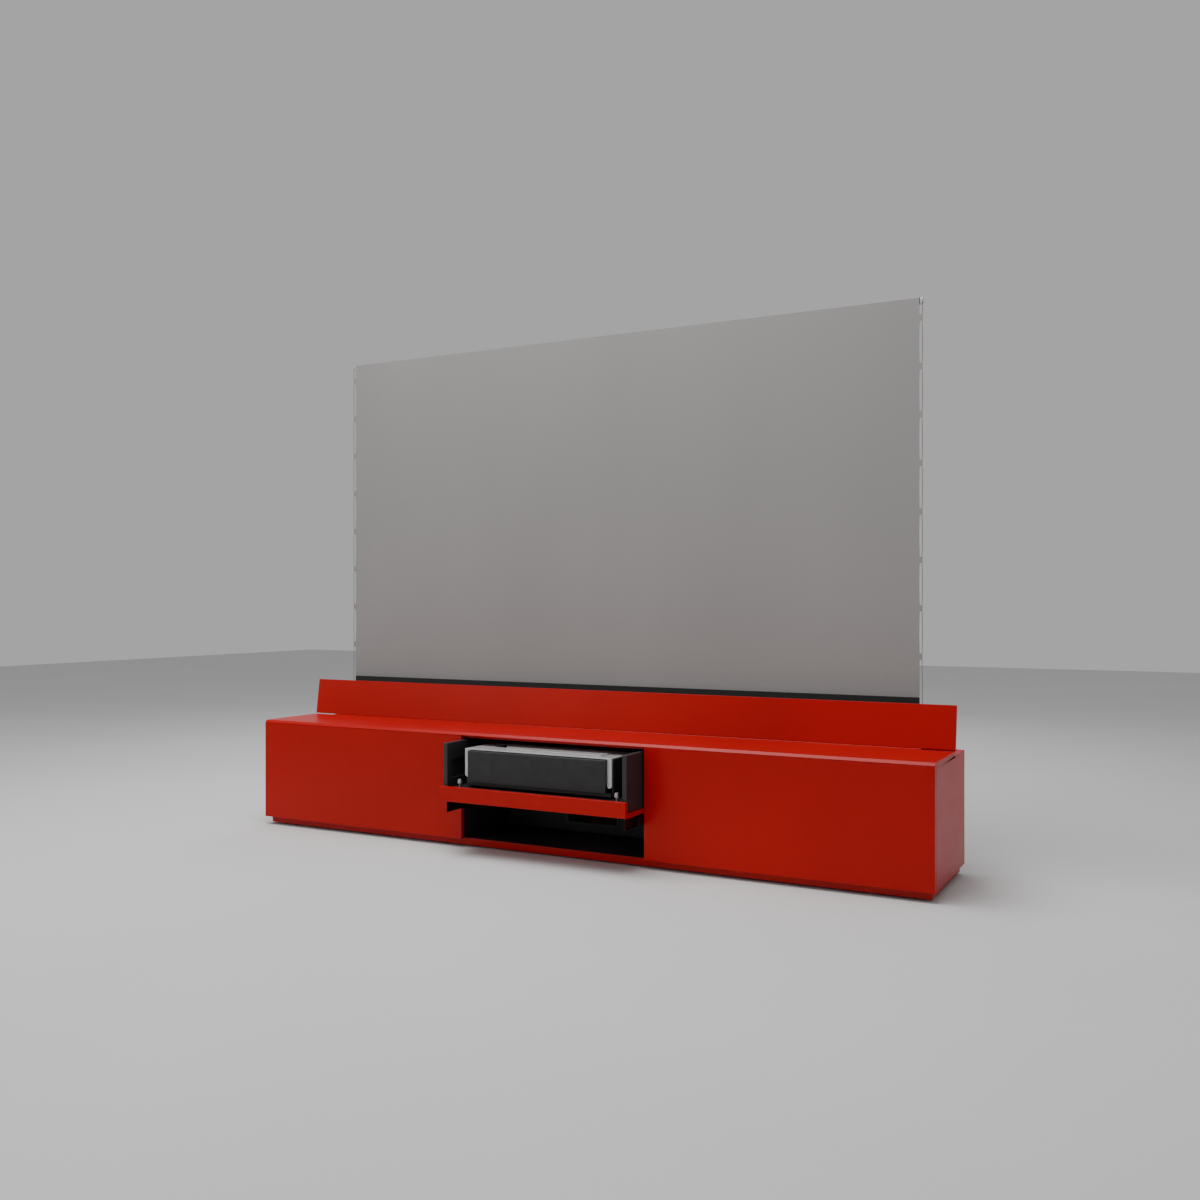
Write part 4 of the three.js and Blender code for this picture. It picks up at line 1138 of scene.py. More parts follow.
@dataclass
class Door:
    """A drop-down door with its full-length hinge and the plate that its latch holds."""

    side: Side
    ease: float = 0.0016
    leaf_width: float = 0.028
    plate_radius: float = 0.0085
    plate_thick: float = 0.0007
    plate_edge: float = 0.0004

    def build(self) -> None:
        """Builds and dresses the door."""
        label = self.side.label
        body = f"door_{label}"
        box = Box.of(body)
        board = Shape().block(box.low, box.high).ease(self.ease)
        add_piece(f"door_board_{label}", board, body, Finishes.RED, [body])
        x, z = Cabinet.latch_place
        edge = self.plate_radius - self.plate_edge
        profile = [
            (0, 0), (self.plate_radius, 0), (self.plate_radius, self.plate_edge), (edge, self.plate_thick),
            (0, self.plate_thick),
        ]
        plate = Shape().lathe(profile, (self.side.value * x, box.high.y, z), Axis.Y)
        add_piece(f"latch_plate_{label}", plate, body, Finishes.ZINC_Z)
        node = Box.of(f"door_hinge_leaf_{label}")
        up, back = Axis.Z.vector, Axis.Y.vector
        zinc = (self.leaf_width, Finishes.ZINC_X, Slot.ZINC_STEEL)
        FullLengthHinge(
            joint_place(f"door_{label}_hinge"), node.size.x,
            (
                Leaf(f"door_leaf_{label}", f"door_hinge_leaf_{label}", body, up, back, 1, *zinc),
                Leaf(
                    f"cabinet_leaf_{label}", f"cabinet_hinge_leaf_{label}", "cabinet", back, up, 0, *zinc,
                ),
            ),
        ).build()


@dataclass
class RearFlap:
    """The lid over the screen's slot, standing open, with its full-length hinge."""

    open_angle: float = math.radians(82)
    length: float = 0.164
    thick: float = 0.012
    gap: float = 0.0035
    ease: float = 0.0012
    leaf_width: float = 0.0113

    def build(self) -> None:
        """Builds and dresses the flap."""
        place = joint_place("flap_hinge")
        half = Box.of("rear_flap").size.x / 2
        low = place + Vector((-half, self.gap, -self.thick))
        high = place + Vector((half, self.length, 0))
        board = Shape().block(low, high).ease(self.ease).turn(self.open_angle, Axis.X, place)
        add_piece("flap_board", board, "flap", Finishes.RED, ["rear_flap"])
        down, back = -Axis.Z.vector, Axis.Y.vector
        painted = (self.leaf_width, Finishes.RED, Slot.RED_STEEL)
        FullLengthHinge(
            place, Box.of("flap_hinge_leaf").size.x,
            (
                Leaf("flap_leaf", "flap_hinge_leaf", "flap", down, -back, 1, *painted),
                Leaf("top_leaf", "top_hinge_leaf", "cabinet", down, back, 0, *painted),
            ),
            turn=self.open_angle,
        ).build()


# ------------------------------------------------------------------ rising screen
@dataclass
class ScreenCloth:
    """The tensioned cloth: picture area, black drop, edge tabs and the cord that runs through them."""

    thick: float = 0.0005
    picture_bottom: float = 0.646
    half_width: float = 1.330
    columns: int = 12
    rows: int = 96
    scallop: float = 0.0014
    tab_first: float = 0.074
    tab_pitch: float = 0.179
    tabs: int = 8
    tab_half: float = 0.015
    tab_root: float = 0.004
    tab_lip: float = 0.001
    tab_thick: float = 0.0011
    tab_ease: float = 0.0003
    tab_steps: int = 14
    cord_reach: float = 0.009
    cord_radius: float = 0.0011
    sleeve: float = 0.0006
    sleeve_share: float = 0.42
    sleeve_sides: int = 14
    cord_start: float = 0.262
    cord_end: float = 0.012
    cord_bow: float = 0.0012
    cord_steps: int = 6
    joint: str = "screen_lift"

    @property
    def top(self) -> float:
        """The cloth's top edge."""
        return Box.of("screen_fabric").high.z

    @property
    def bottom(self) -> float:
        """Where the cloth meets the roller."""
        return Box.of("screen_fabric").low.z

    @property
    def depth(self) -> float:
        """The plane of the cloth's front."""
        return Box.of("screen_top_bar").low.y - self.thick - HAIR

    @property
    def keep(self) -> float:
        """The share of its height that the cloth keeps when the screen is down."""
        shoulder, elbow = joint_place("screen_lift"), joint_place("elbow_left")
        arm = math.hypot(elbow.x - shoulder.x, elbow.z - shoulder.z)
        raised = math.atan2(elbow.z - shoulder.z, abs(elbow.x - shoulder.x))
        travel = next(j["range_deg"][1] for j in frame["joints"] if j["name"] == self.joint)
        drop = 2 * arm * (math.sin(raised) - math.sin(raised - math.radians(travel)))
        return (self.top - drop - self.bottom) / (self.top - self.bottom)

    @property
    def cord_depth(self) -> float:
        """The plane of the cords, far enough forward to pass the bar's caps as the screen comes down."""
        return Box.of("screen_top_bar").low.y - self.cord_radius - self.sleeve - 2 * HAIR

    def tab_heights(self) -> list[float]:
        """The middle of each tab, from the top down."""
        return [self.top - self.tab_first - index * self.tab_pitch for index in range(self.tabs)]

    def build(self) -> None:
        """Builds and dresses the cloth and what runs along its edges."""
        cloth = self.cloth()
        parts = [self.edge_tabs(side) for side in Side] + [self.edge_cord(side) for side in Side]
        for piece in (cloth, *parts):
            self.bottom
            self.keep
            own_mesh(piece)
        self.top - self.bottom

    def cloth(self) -> bpy.types.Object:
        """The sheet itself, with hollowed edges between its tabs."""
        shape = Shape()
        mid = (self.top + self.bottom) / 2
        half_height = (self.top - self.bottom) / 2
        turn = Matrix.Rotation(math.radians(90), 4, "X")
        size = Matrix.Diagonal((self.half_width, 1, half_height, 1))
        bmesh.ops.create_grid(
            shape.bm, x_segments=self.columns, y_segments=self.rows, size=1.0,
            matrix=Matrix.Translation((0, self.depth, mid)) @ size @ turn,
        )
        bmesh.ops.bisect_plane(
            shape.bm, geom=shape.bm.verts[:] + shape.bm.edges[:] + shape.bm.faces[:], dist=NEAR,
            plane_co=(0, 0, self.picture_bottom), plane_no=(0, 0, 1),
        )
        bmesh.ops.recalc_face_normals(shape.bm, faces=shape.bm.faces[:])
        if shape.bm.faces[:][0].normal.y > 0:
            bmesh.ops.reverse_faces(shape.bm, faces=shape.bm.faces[:])
        lowest_tab = self.tab_heights()[-1]
        for vert in shape.bm.verts:
            if abs(vert.co.x) > self.half_width - NEAR and vert.co.z > lowest_tab:
                phase = (self.top - self.tab_first - vert.co.z) / self.tab_pitch
                hollow = self.scallop * math.sin(math.pi * (phase % 1.0)) ** 2
                vert.co.x -= math.copysign(hollow, vert.co.x)
        bmesh.ops.solidify(shape.bm, geom=shape.bm.faces[:], thickness=self.thick)
        front = min(vert.co.y for vert in shape.bm.verts)
        shift = self.depth - front
        bmesh.ops.translate(shape.bm, vec=(0, shift, 0), verts=shape.bm.verts[:])
        bmesh.ops.recalc_face_normals(shape.bm, faces=shape.bm.faces[:])
        for face in shape.bm.faces:
            on_front = face.normal.y < -0.5
            above = face.calc_center_median().z > self.picture_bottom
            face.material_index = 0 if on_front and above else 1
        piece = add_piece(
            "screen_cloth", shape, "cabinet", Finishes.SCREEN, ["screen_fabric"],
        )
        piece.data.materials.append(Finishes.material(Finishes.BLACK_CLOTH))
        return piece

    def edge_tabs(self, side: Side) -> bpy.types.Object:
        """The rounded tabs along one edge, each folded round the cord."""
        shape = Shape()
        edge = self.half_width - self.tab_root
        cord = self.half_width + self.cord_reach
        back = self.depth + self.thick - HAIR
        reach = self.tab_half * self.sleeve_share
        out = cord + self.tab_lip - edge
        angles = [math.pi * step / self.tab_steps for step in range(self.tab_steps + 1)]
        for z in self.tab_heights():
            outline = [(z + self.tab_half * math.cos(a), edge + out * math.sin(a)) for a in angles]
            tab = Shape().prism(outline, Axis.Y, back - self.tab_thick, back)
            if side is Side.LEFT:
                tab.move(Matrix.Diagonal((-1, 1, 1, 1)))
            shape.take_in(tab.ease(self.tab_ease, 2))
            x = side.value * cord
            sleeve = (Vector((x, self.cord_depth, z + end)) for end in (-reach, reach))
            shape.rod(*sleeve, self.cord_radius + self.sleeve, self.sleeve_sides)
        name = f"cloth_tabs_{side.label}"
        return add_piece(name, shape, "cabinet", Finishes.SCREEN)

    def edge_cord(self, side: Side) -> bpy.types.Object:
        """The tension cord down one edge, which bows in a little at each tab."""
        y = self.cord_depth
        x = self.half_width + self.cord_reach
        levels = [self.cord_start, *reversed(self.tab_heights()), self.top - self.cord_end]
        points = [Vector((side.value * x, y, levels[0]))]
        for low, high in zip(levels, levels[1:]):
            for step in range(1, self.cord_steps + 1):
                part = step / self.cord_steps
                bow = self.cord_bow * math.sin(math.pi * part)
                points.append(Vector((side.value * (x + bow), y, low + (high - low) * part)))
        shape = Shape().cable(points, self.cord_radius)
        name = f"tension_cord_{side.label}"
        return add_piece(name, shape, "cabinet", Finishes.CORD)


@dataclass
class LiftArm:
    """One slotted arm of the lift, between two of its pivots."""

    name: str
    node: str
    start: Vector
    end: Vector
    pin_at_end: bool = False
    half_width: float = 0.020
    slot_half: float = 0.008
    slot_from: float = 0.080
    web: float = 0.060
    bore: float = 0.0075
    thick: float = 0.010
    pin: float = 0.007
    washer_rim: float = 0.002
    washer_thick: float = 0.0004
    bolt_radius: float = 0.009
    bolt_height: float = 0.0022
    ease: float = 0.0011

    def build(self) -> None:
        """Builds the arm lying along X, then turns it to its place."""
        box = Box.of(self.node)
        front, back = box.low.y, box.low.y + self.thick
        pin_end = box.high.y
        way = self.end - self.start
        length = math.hypot(way.x, way.z)
        slope = math.atan2(way.z, way.x)
        arm = Shape().stadium((0, 0), (length, 0), self.half_width, (front, back))
        slot_length = (length - 2 * self.slot_from - self.web) / 2
        through = (front - CUT_PAST, back + CUT_PAST)
        cutters = Shape()
        for begin in (self.slot_from, self.slot_from + slot_length + self.web):
            cutters.stadium((begin, 0), (begin + slot_length, 0), self.slot_half, through, 32)
        for x in (0.0,) if self.pin_at_end else (0.0, length):
            cutters.rod((x, through[0], 0), (x, through[1], 0), self.bore, 40)
        arm = arm.cut(cutters).ease(self.ease, 3)
        if self.pin_at_end:
            pin = Shape().rod((length, back - CUT_PAST, 0), (length, pin_end, 0), self.pin, 32)
            arm = arm.combine(pin, "UNION")
            arm.rod(
                (length, pin_end - self.washer_thick, 0), (length, pin_end, 0),
                self.pin + self.washer_rim, 32,
            )
            seat = Vector((length, front + HAIR, 0))
            screw_head(arm, seat, Axis.Y, -1, self.bolt_radius, self.bolt_height)
        turn = Matrix.Rotation(-slope, 4, "Y")
        arm.move(Matrix.Translation((self.start.x, 0, self.start.z)) @ turn)
        finish = DrawnMetal(f"drawn_{self.name}", base=(0.6, 0.61, 0.62), slope=slope)
        add_piece(f"{self.name}_bar", arm, self.node, finish, [self.node])


@dataclass
class RisingScreen:
    """Roller, casing, lift and cloth."""

    cloth: ScreenCloth = field(default_factory=ScreenCloth)
    bar_thick: float = 0.010
    bar_height: float = 0.023
    cap_length: float = 0.012
    groove: float = 0.004
    groove_depth: float = 0.003
    bar_ease: float = 0.0006
    cap_ease: float = 0.0014
    boss: float = 0.014
    pin: float = 0.007
    washer_rim: float = 0.002
    washer_thick: float = 0.0004
    journal: float = 0.0078
    tube_inset: float = 0.0012
    tube_chamfer: float = 0.002
    end_gap: float = 0.0035
    layer: float = 0.0004
    layer_step: tuple[float, float] = (0.001, 0.0016)
    hem_rise: float = 0.0004
    hem_back: float = 0.0006
    plate_thick: float = 0.005
    plate_ease: float = 0.001
    shoulder_gap: float = 0.0105
    shoulder_radius: float = 0.012
    shoulder_height: float = 0.002
    plate_screws: Sequence[float] = (-0.3, -0.16, 0.0, 0.16, 0.3)
    plate_screw_rise: float = 0.03
    plate_screw_radius: float = 0.006
    plate_screw_height: float = 0.0022

    def build(self) -> None:
        """Builds and dresses the screen."""
        dress("screen_casing", Finishes.STEEL)
        self.roller()
        self.top_bar()
        self.lift_base()
        self.arms()
        self.cloth.build()

    def roller(self) -> None:
        """The tube with its end caps and journals, and the turns of cloth that stay on it."""
        box = Box.of("screen_roller")
        y, z = box.centre.y, box.centre.z
        radius = box.size.z / 2
        reach = box.high.x
        half = reach - self.end_gap
        tube = radius - self.tube_inset
        inner, chamfer = tube - self.tube_chamfer, self.tube_chamfer
        profile = [
            (0, -reach), (self.journal, -reach), (self.journal, -half), (inner, -half),
            (tube, -half + chamfer), (tube, half - chamfer), (inner, half),
            (self.journal, half), (self.journal, reach), (0, reach),
        ]
        shape = Shape().lathe(profile, (0, y, z), Axis.X, 48)
        add_piece(
            "roller_tube", shape, "roller", Finishes.ALUMINIUM, ["screen_roller"],
        )
        edge = self.cloth.half_width
        turns = Shape()
        layers = [
            (tube - SEAM, 0.0), (tube + self.layer, 0.0), (radius - self.layer, self.layer_step[0]),
            (radius, self.layer_step[1]),
        ]
        left = [(reach_out, -edge + inset) for reach_out, inset in layers]
        right = [(reach_out, edge - inset) for reach_out, inset in reversed(layers)]
        turns.lathe([*left, *right, left[0]], (0, y, z), Axis.X, 48)
        add_piece("wound_cloth", turns, "roller", Finishes.BLACK_CLOTH)

    def top_bar(self) -> None:
        """The extruded bar with a groove down its back, its end caps, pivots and the cloth's hem."""
        box = Box.of("screen_top_bar")
        y0, y1 = box.low.y, box.low.y + self.bar_thick
        z1 = box.high.z
        z0 = z1 - self.bar_height
        middle = (z0 + z1) / 2
        half = box.high.x
        low, high = middle - self.groove, middle + self.groove
        depth = y1 - self.groove_depth
        section = [
            (y0, z0), (y1, z0), (y1, low), (depth, low), (depth, high), (y1, high), (y1, z1), (y0, z1),
        ]
        bar = Shape().prism(section, Axis.X, -half + self.cap_length, half - self.cap_length)
        bar.ease(self.bar_ease)
        pivot = joint_place("bar_pivot")
        arm, end = Box.of("upper_arm_left").low.y, box.high.y
        for side in Side:
            x = side.value * abs(pivot.x)
            rods = (
                (y1 - OVERLAP, arm - SEAM, self.boss, 40),
                (arm - OVERLAP, end, self.pin, 32),
                (end - self.washer_thick, end, self.pin + self.washer_rim, 32),
            )
            for start, stop, radius, sides in rods:
                bar.rod((x, start, pivot.z), (x, stop, pivot.z), radius, sides)
        add_piece(
            "top_bar_section", bar, "top_bar", Finishes.ANODISED, ["screen_top_bar"],
        )
        caps = Shape()
        for side in Side:
            inner, outer = sorted((side.value * (half - self.cap_length), side.value * half))
            caps.block((inner, y0, z0), (outer, y1, z1))
        caps.ease(self.cap_ease)
        add_piece("top_bar_caps", caps, "top_bar", Finishes.ALUMINIUM)
        edge = self.cloth.half_width
        front, back, rise, foot = y0 - HAIR, y1 + self.hem_back, z1 + self.hem_rise, high + OVERLAP
        sunk = y1 + HAIR
        folded = [(front, z1), (front, rise), (back, rise), (back, foot), (sunk, foot), (sunk, z1)]
        hem = Shape().prism(folded, Axis.X, -edge, edge)
        add_piece("cloth_hem", hem, "top_bar", Finishes.BLACK_CLOTH)

    def lift_base(self) -> None:
        """The steel plate that carries the two shoulders."""
        box = Box.of("lift_base")
        arm = Box.of("lower_arm_left")
        plate = box.high.y - self.plate_thick
        shoulder = joint_place("screen_lift")
        base = Shape().block((box.low.x, plate, box.low.z), box.high).ease(self.plate_ease)
        for side in Side:
            x, z = side.value * abs(shoulder.x), shoulder.z
            front = arm.low.y - SEAM
            base.rod(
                (x, arm.low.y + self.shoulder_gap, z), (x, plate + OVERLAP, z), self.shoulder_radius, 40,
            )
            base.rod((x, front, z), (x, plate, z), self.pin, 32)
            seat = Vector((x, front, z))
            screw_head(base, seat, Axis.Y, -1, self.shoulder_radius, self.shoulder_height)
        for x in self.plate_screws:
            seat = Vector((x, plate + HAIR, box.low.z + self.plate_screw_rise))
            screw_head(base, seat, Axis.Y, -1, self.plate_screw_radius, self.plate_screw_height)
        add_piece("lift_plate", base, "cabinet", Finishes.STEEL, ["lift_base"])

    def arms(self) -> None:
        """The four arms, each between its pivots."""
        shoulder = joint_place("screen_lift")
        elbow = joint_place("elbow_left")
        top = joint_place("bar_pivot")
        for side in Side:
            flip = Vector((-side.value, 1, 1))
            places = [Vector(a * b for a, b in zip(point, flip)) for point in (shoulder, elbow, top)]
            lower, upper = f"lower_arm_{side.label}", f"upper_arm_{side.label}"
            LiftArm(lower, lower, places[0], places[1], pin_at_end=True).build()
            LiftArm(upper, upper, places[1], places[2]).build()


# ------------------------------------------------------------------ tray
@dataclass
class SlideRails:
    """The three nested rails on each side of the tray, with the screws that hold the outer one."""

    screw_places: Sequence[float] = (-0.12, -0.02, 0.08, 0.15)
    screw_inset: float = 0.0016
    screw_radius: float = 0.0035
    screw_height: float = 0.0011

    def build(self) -> None:
        """Dresses the rails and adds their screws."""
        for side in Side:
            for level in ("outer", "middle", "inner"):
                dress(f"{level}_rail_{side.label}", Finishes.RAIL)
            outer = Box.of(f"outer_rail_{side.label}")
            wall = outer.high.x if side is Side.RIGHT else outer.low.x
            screws = Shape()
            for y in self.screw_places:
                seat = Vector((wall - side.value * self.screw_inset, y, outer.centre.z))
                screw_head(screws, seat, Axis.X, -side.value, self.screw_radius, self.screw_height)
            name = f"rail_screws_{side.label}"
            add_piece(name, screws, "cabinet", Finishes.ZINC_Z)


@dataclass
class Tray:
    """The slide-out tray: red board and lip, black sides with pockets, platform and levelling knobs."""

    ease: float = 0.0014
    side_ease: float = 0.0011
    plate_ease: float = 0.0006
    pocket_y: tuple[float, float] = (-0.288, -0.116)
    step_y: float = -0.261
    pocket_z: tuple[float, float] = (0.300, 0.372)
    depths: tuple[float, float] = (0.004, 0.008)
    knob_ribs: int = 30
    knob_height: float = 0.018
    knob_radius: float = 0.009
    knob_stem: float = 0.004
    knob_groove: float = 0.05

    def build(self) -> None:
        """Builds and dresses the tray."""
        for node, name in (("tray_board", "tray_bottom"), ("tray_front_lip", "tray_lip")):
            box = Box.of(node)
            board = Shape().block(box.low, box.high).ease(self.ease)
            add_piece(name, board, "tray", Finishes.RED, [node])
        for side in Side:
            self.side_board(side)
            self.knob(side)
        platform = Shape.copy_of("projector_platform").ease(self.plate_ease, 2)
        add_piece(
            "platform_plate", platform, "tray", Finishes.STEEL, ["projector_platform"],
        )

    def side_board(self, side: Side) -> None:
        """A side board with a stepped pocket in its inner face."""
        node = f"tray_side_{side.label}"
        box = Box.of(node)
        inner = box.low.x if side is Side.RIGHT else box.high.x
        board = Shape().block(box.low, box.high)
        for start, depth in ((self.pocket_y[0], self.depths[0]), (self.step_y, self.depths[1])):
            near, far = sorted((inner - side.value * CUT_PAST, inner + side.value * depth))
            low, high = (near, start, self.pocket_z[0]), (far, self.pocket_y[1], self.pocket_z[1])
            board = board.cut(Shape().block(low, high))
        name = f"tray_side_board_{side.label}"
        board.ease(self.side_ease)
        add_piece(name, board, "tray", Finishes.BOARD, [node])

    def knob(self, side: Side) -> None:
        """A knurled levelling knob on its stem."""
        node = f"levelling_knob_{side.label}"
        box = Box.of(node)
        x, y = box.centre.x, box.centre.y
        radius, stem = self.knob_radius, self.knob_stem
        foot, top = box.low.z, box.high.z
        head = top - self.knob_height
        profile = [
            (0, foot), (stem - 0.0006, foot), (stem, foot + 0.0006), (stem, head),
            (radius - 0.0012, head), (radius, head + 0.0012), (radius, top - 0.0028),
            (radius - 0.0014, top - 0.0008), (radius - 0.0032, top), (0.0028, top),
            (0.0024, top - 0.001), (0, top - 0.001),
        ]
        shape = Shape().lathe(profile, (x, y, 0), Axis.Z, self.knob_ribs * 2)
        for vert in shape.bm.verts:
            out = Vector((vert.co.x - x, vert.co.y - y))
            step = round(math.atan2(out.y, out.x) / (math.pi / self.knob_ribs))
            if out.length > radius - HAIR and step % 2:
                vert.co.x -= out.x * self.knob_groove
                vert.co.y -= out.y * self.knob_groove
        name = f"knob_{side.label}_turned"
        add_piece(name, shape, f"knob_{side.label}", Finishes.ZINC_Z, [node])


# ------------------------------------------------------------------ projector
@dataclass
class Projector:
    """The short-throw projector: shell, front cloth, lens bay, ports and what is inside."""

    cloth_margin: float = 0.0045
    cloth_proud: float = 0.0009
    cloth_corner: float = 0.006
    cloth_ease: float = 0.0007
    shutter_ease: float = 0.0008
    well_ease: float = 0.0005
    tube_wall: float = 0.004
    lens_radius: float = 0.0228
    lens_edge: float = 0.0042
    lens_crown: float = 0.0036
    lens_steps: int = 8
    socket_start: float = -0.228
    socket_pitch: float = 0.042
    sockets: int = 4
    socket_size: tuple[float, float] = (0.018, 0.016)
    socket_centre: float = 0.330
    shell_wall: float = 0.0012
    shell_lap: float = 0.0002
    shell_depth: tuple[float, float] = (0.0035, 0.0006)
    shell_ease: float = 0.0003
    ring_radius: float = 0.010
    cap_radius: float = 0.007
    supply_board_top: float = 0.286
    main_board_top: float = 0.354

    def build(self) -> None:
        """Builds and dresses the projector."""
        self.shell()
        self.front_cloth()
        self.optics()
        self.ports()
        self.insides()

    def shell(self) -> None:
        """The moulded and painted shell pieces, with softened edges."""
        pieces = (
            ("projector_top_frame", "silver_frame", Finishes.SILVER, Slot.SILVER_SHELL, 0.0011),
            ("projector_front_panel", "front_shell", Finishes.PLASTIC, Slot.BLACK_PLASTIC, 0.0018),
            ("projector_side_left", "louvred_side_left", Finishes.PLASTIC, Slot.BLACK_PLASTIC, 0.0006),
            ("projector_side_right", "louvred_side_right", Finishes.PLASTIC, Slot.BLACK_PLASTIC, 0.0006),
            ("projector_rear_panel", "rear_shell", Finishes.PLASTIC, Slot.BLACK_PLASTIC, 0.0004),
            ("projector_rear_deck", "ribbed_deck", Finishes.PLASTIC, Slot.BLACK_PLASTIC, 0.0005),
            ("projector_base", "base_pan", Finishes.PLASTIC, Slot.BLACK_PLASTIC, 0.0008),
        )
        for node, name, finish, slot, radius in pieces:
            add_piece(name, Shape.copy_of(node).ease(radius, 2), "tray", finish, [node])

    def front_cloth(self) -> None:
        """The crowned speaker cloth over the front."""
        box = Box.of("projector_front_panel")
        margin = self.cloth_margin
        low = Vector((box.low.x + margin, box.low.y - self.cloth_proud, box.low.z + margin))
        high = Vector((box.high.x - margin, box.low.y + OVERLAP, box.high.z - margin))
        shape = Shape().block(low, high)
        corners = [
            edge for edge in shape.bm.edges
            if abs(edge.verts[0].co.y - edge.verts[1].co.y) > NEAR
        ]
        bmesh.ops.bevel(
            shape.bm, geom=corners, offset=self.cloth_corner, offset_type="OFFSET", segments=8,
            profile=0.5, affect="EDGES", clamp_overlap=True, material=-1,
        )
        shape.ease(self.cloth_ease, 3, math.radians(60))
        add_piece("speaker_cloth", shape, "tray", Finishes.SPEAKER_CLOTH)

    def optics(self) -> None:
        """The shutter, the well, the mirror and the lens."""
        shutter = Shape.copy_of("lens_shutter").ease(self.shutter_ease)
        add_piece("shutter_plate", shutter, "shutter", Finishes.SILVER, ["lens_shutter"])
        well = Shape.copy_of("lens_well").ease(self.well_ease, 2)
        add_piece("well_lining", well, "tray", Finishes.GLOSS, ["lens_well"])
        dress("concave_mirror", Finishes.MIRROR)
        box = Box.of("lens_barrel")
        centre = Vector((box.centre.x, box.low.y, box.centre.z))
        radius, length = box.size.x / 2, box.size.y
        inner, waist, half = radius - self.tube_wall, radius - 0.0008, length / 2
        barrel = [
            (0, 0.004), (inner, 0.004), (inner, 0.0006), (inner + 0.0008, 0), (radius - 0.001, 0),
            (radius, 0.001), (radius, half * 0.4), (waist, half * 0.46), (waist, half * 0.56),
            (radius, half * 0.62), (radius, half), (inner, half), (inner, length), (0, length),
        ]
        tube = Shape().lathe(barrel, centre, Axis.Y, 56)
        add_piece("lens_tube", tube, "tray", Finishes.ANODISED, ["lens_barrel"])
        angles = [math.radians(90) * step / self.lens_steps for step in range(self.lens_steps + 1)]
        dome = [
            (self.lens_radius * math.sin(a), self.lens_edge - self.lens_crown * math.cos(a)) for a in angles
        ]
        glass = Shape().lathe([*dome, (0, self.lens_edge + HAIR)], centre, Axis.Y, 48)
        add_piece("front_lens", glass, "tray", Finishes.GLASS)

    def ports(self) -> None:
        """Plated shells round the sockets, and the power button with its ring."""
        rear = Box.of("projector_rear_panel").high.y
        width, height = self.socket_size
        bottom, top = self.socket_centre - height / 2, self.socket_centre + height / 2
        wall, lap = self.shell_wall, self.shell_lap
        shells = Shape()
        for index in range(self.sockets):
            left = self.socket_start + index * self.socket_pitch
            right = left + width
            outer = Shape().block(
                (left - wall, rear - self.shell_depth[0], bottom - wall),
                (right + wall, rear - self.shell_depth[1], top + wall),
            )
            inner = Shape().block(
                (left + lap, rear - self.shell_depth[0] - CUT_PAST, bottom + lap),
                (right - lap, rear + OVERLAP, top - lap),
            )
            shells.take_in(outer.cut(inner).ease(self.shell_ease, 2))
        add_piece("socket_shells", shells, "tray", Finishes.ZINC_Z)
        button = Box.of("power_button")
        x, z = button.centre.x, button.centre.z
        face, base = button.high.y, button.low.y
        ring, cap = self.ring_radius, self.cap_radius
        profile = [
            (0, base), (ring, base), (ring, base + 0.002), (cap, base + 0.002), (cap, face - 0.001),
            (cap - 0.0008, face - 0.0002), (0.005, face), (0.0035, face - 0.0003), (0, face - 0.0005),
        ]
        turned = Shape().lathe(profile, (x, 0, z), Axis.Y, 40)
        add_piece("button_cap", turned, "power_button", Finishes.ZINC_Z, ["power_button"])

    def insides(self) -> None:
        """Dresses the pieces inside the shell."""
        dress("light_engine", Finishes.CAST)
        dress("heat_sink", Finishes.ALUMINIUM)
        dress("fan_housing", Finishes.PLASTIC)
        dress("fan_rotor", Finishes.GLOSS)
        boards = (("power_supply", self.supply_board_top), ("main_board", self.main_board_top))
        for node, height in boards:
            dress(node, CircuitMask(f"{node}_mask", board_top=height))
        for side in Side:
            dress(f"speaker_{side.label}", Finishes.PLASTIC)


# ------------------------------------------------------------------ studio
@dataclass
class Lamp:
    """A soft rectangular studio light that looks at a point."""

    name: str
    place: tuple[float, float, float]
    aim: tuple[float, float, float]
    size: tuple[float, float]
    power: float

    def build(self) -> None:
        """Hangs the light."""
        data = bpy.data.lights.new(self.name, "AREA")
        data.shape = "RECTANGLE"
        data.size, data.size_y = self.size
        data.energy = self.power
        lamp = bpy.data.objects.new(self.name, data)
        bpy.context.scene.collection.objects.link(lamp)
        lamp.location = self.place
        way = Vector(self.aim) - Vector(self.place)
        lamp.rotation_euler = way.to_track_quat("-Z", "Y").to_euler()


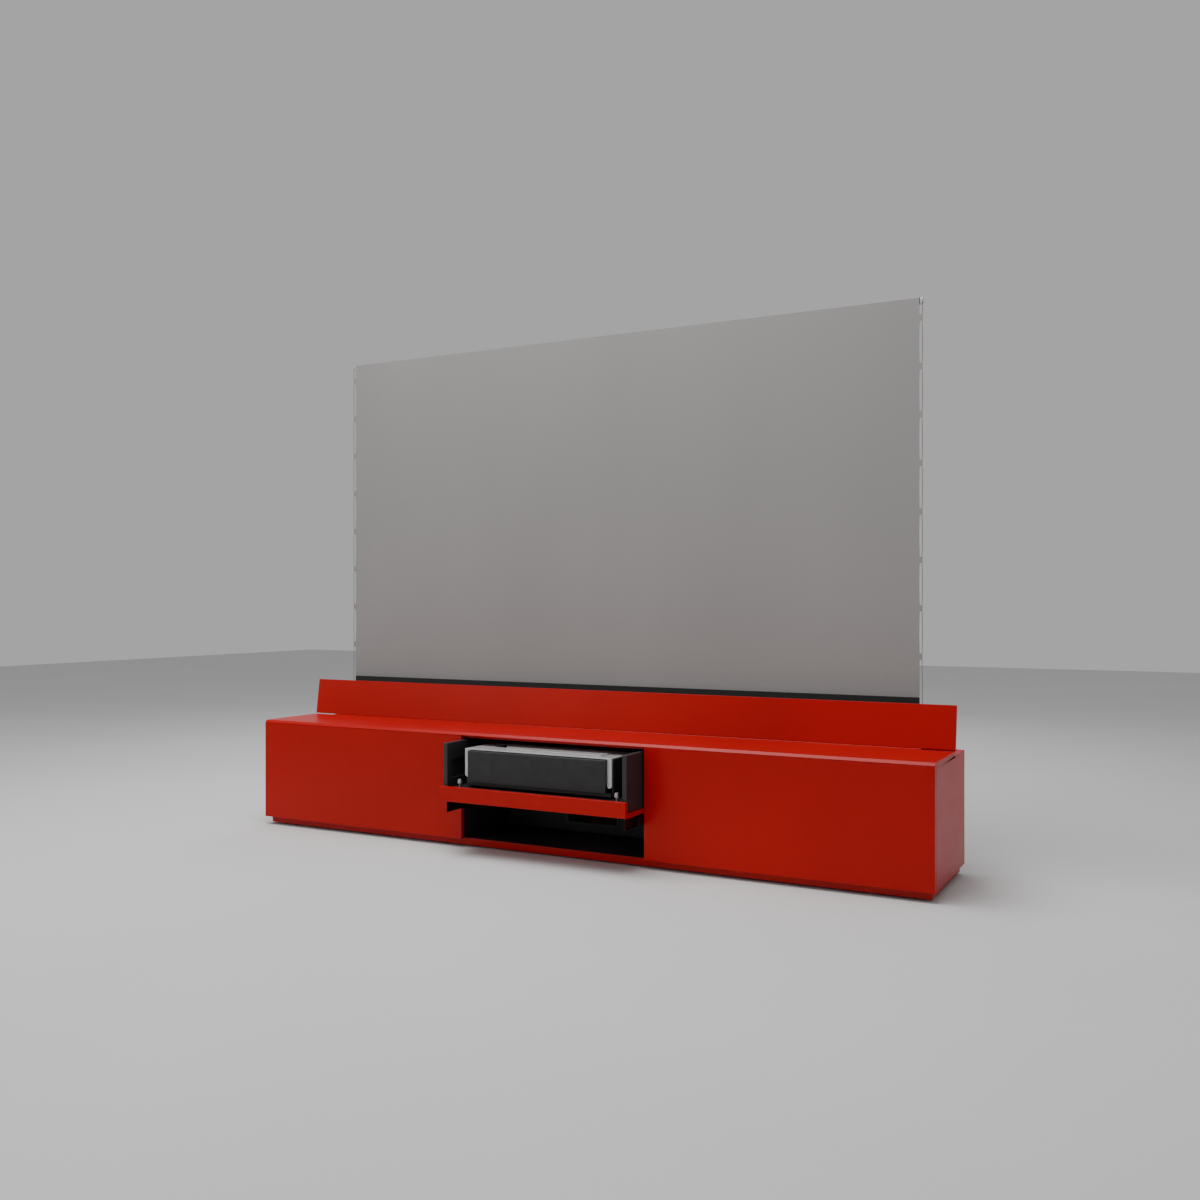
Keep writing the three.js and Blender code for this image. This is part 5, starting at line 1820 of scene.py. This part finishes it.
@dataclass
class Studio:
    """A plain pale floor, soft light and the camera."""

    floor_half: float = 14.0
    floor_tone: float = 0.62
    ambient: float = 0.44
    camera_place: tuple[float, float, float] = (2.314, -4.087, 1.0065)
    camera_turn: float = math.radians(28.09)
    lens: float = 34.93
    sensor: float = 36.0

    def build(self) -> None:
        """Builds the studio."""
        self.floor()
        self.lights()
        self.camera()

    def floor(self) -> None:
        """A large pale floor with a trace of unevenness."""
        shape = Shape()
        bmesh.ops.create_grid(shape.bm, x_segments=1, y_segments=1, size=self.floor_half)
        plane = shape.to_object("floor")
        graph = Graph("floor_paint")
        cloud = graph.noise(graph.place(), 0.8, 4)
        tone = (self.floor_tone,) * 3
        graph.colour(graph.blend(graph.span(cloud, 0, 1), shade(tone, 0.98), shade(tone, 1.02)))
        graph.set(Roughness=0.75)
        plane.data.materials.append(graph.material)

    def lights(self) -> None:
        """Pale surroundings, a large light overhead and two fills."""
        world = bpy.data.worlds.new("studio")
        bpy.context.scene.world = world
        world.use_nodes = True
        background = world.node_tree.nodes["Background"]
        background.inputs["Color"].default_value = (1, 1, 1, 1)
        background.inputs["Strength"].default_value = self.ambient
        lamps = (
            Lamp("overhead", (-0.6, -0.9, 4.8), (0, 0.1, 0.4), (4.6, 2.6), 260),
            Lamp("front_fill", (-3.4, -4.2, 2.4), (0, 0, 0.6), (2.4, 2.0), 25),
            Lamp("rear_fill", (-1.8, 4.4, 3.0), (0, 0, 0.9), (3.0, 2.0), 60),
        )
        for lamp in lamps:
            lamp.build()

    def camera(self) -> None:
        """The camera, level, to the right of the front."""
        data = bpy.data.cameras.new("camera")
        data.lens, data.sensor_width = self.lens, self.sensor
        camera = bpy.data.objects.new("camera", data)
        bpy.context.scene.collection.objects.link(camera)
        camera.location = self.camera_place
        camera.rotation_euler = (math.radians(90), 0, self.camera_turn)
        bpy.context.scene.camera = camera


def main() -> None:
    """Builds every sub-assembly in order."""
    logging.basicConfig(level=logging.INFO, format="%(name)s: %(message)s")
    assemblies = (
        Studio(), Cabinet(), Door(Side.LEFT), Door(Side.RIGHT), RearFlap(), RisingScreen(),
        SlideRails(), Tray(), Projector(),
    )
    for assembly in assemblies:
        log.info("building %s", type(assembly).__name__)
        assembly.build()


if __name__ == "__main__":
    main()
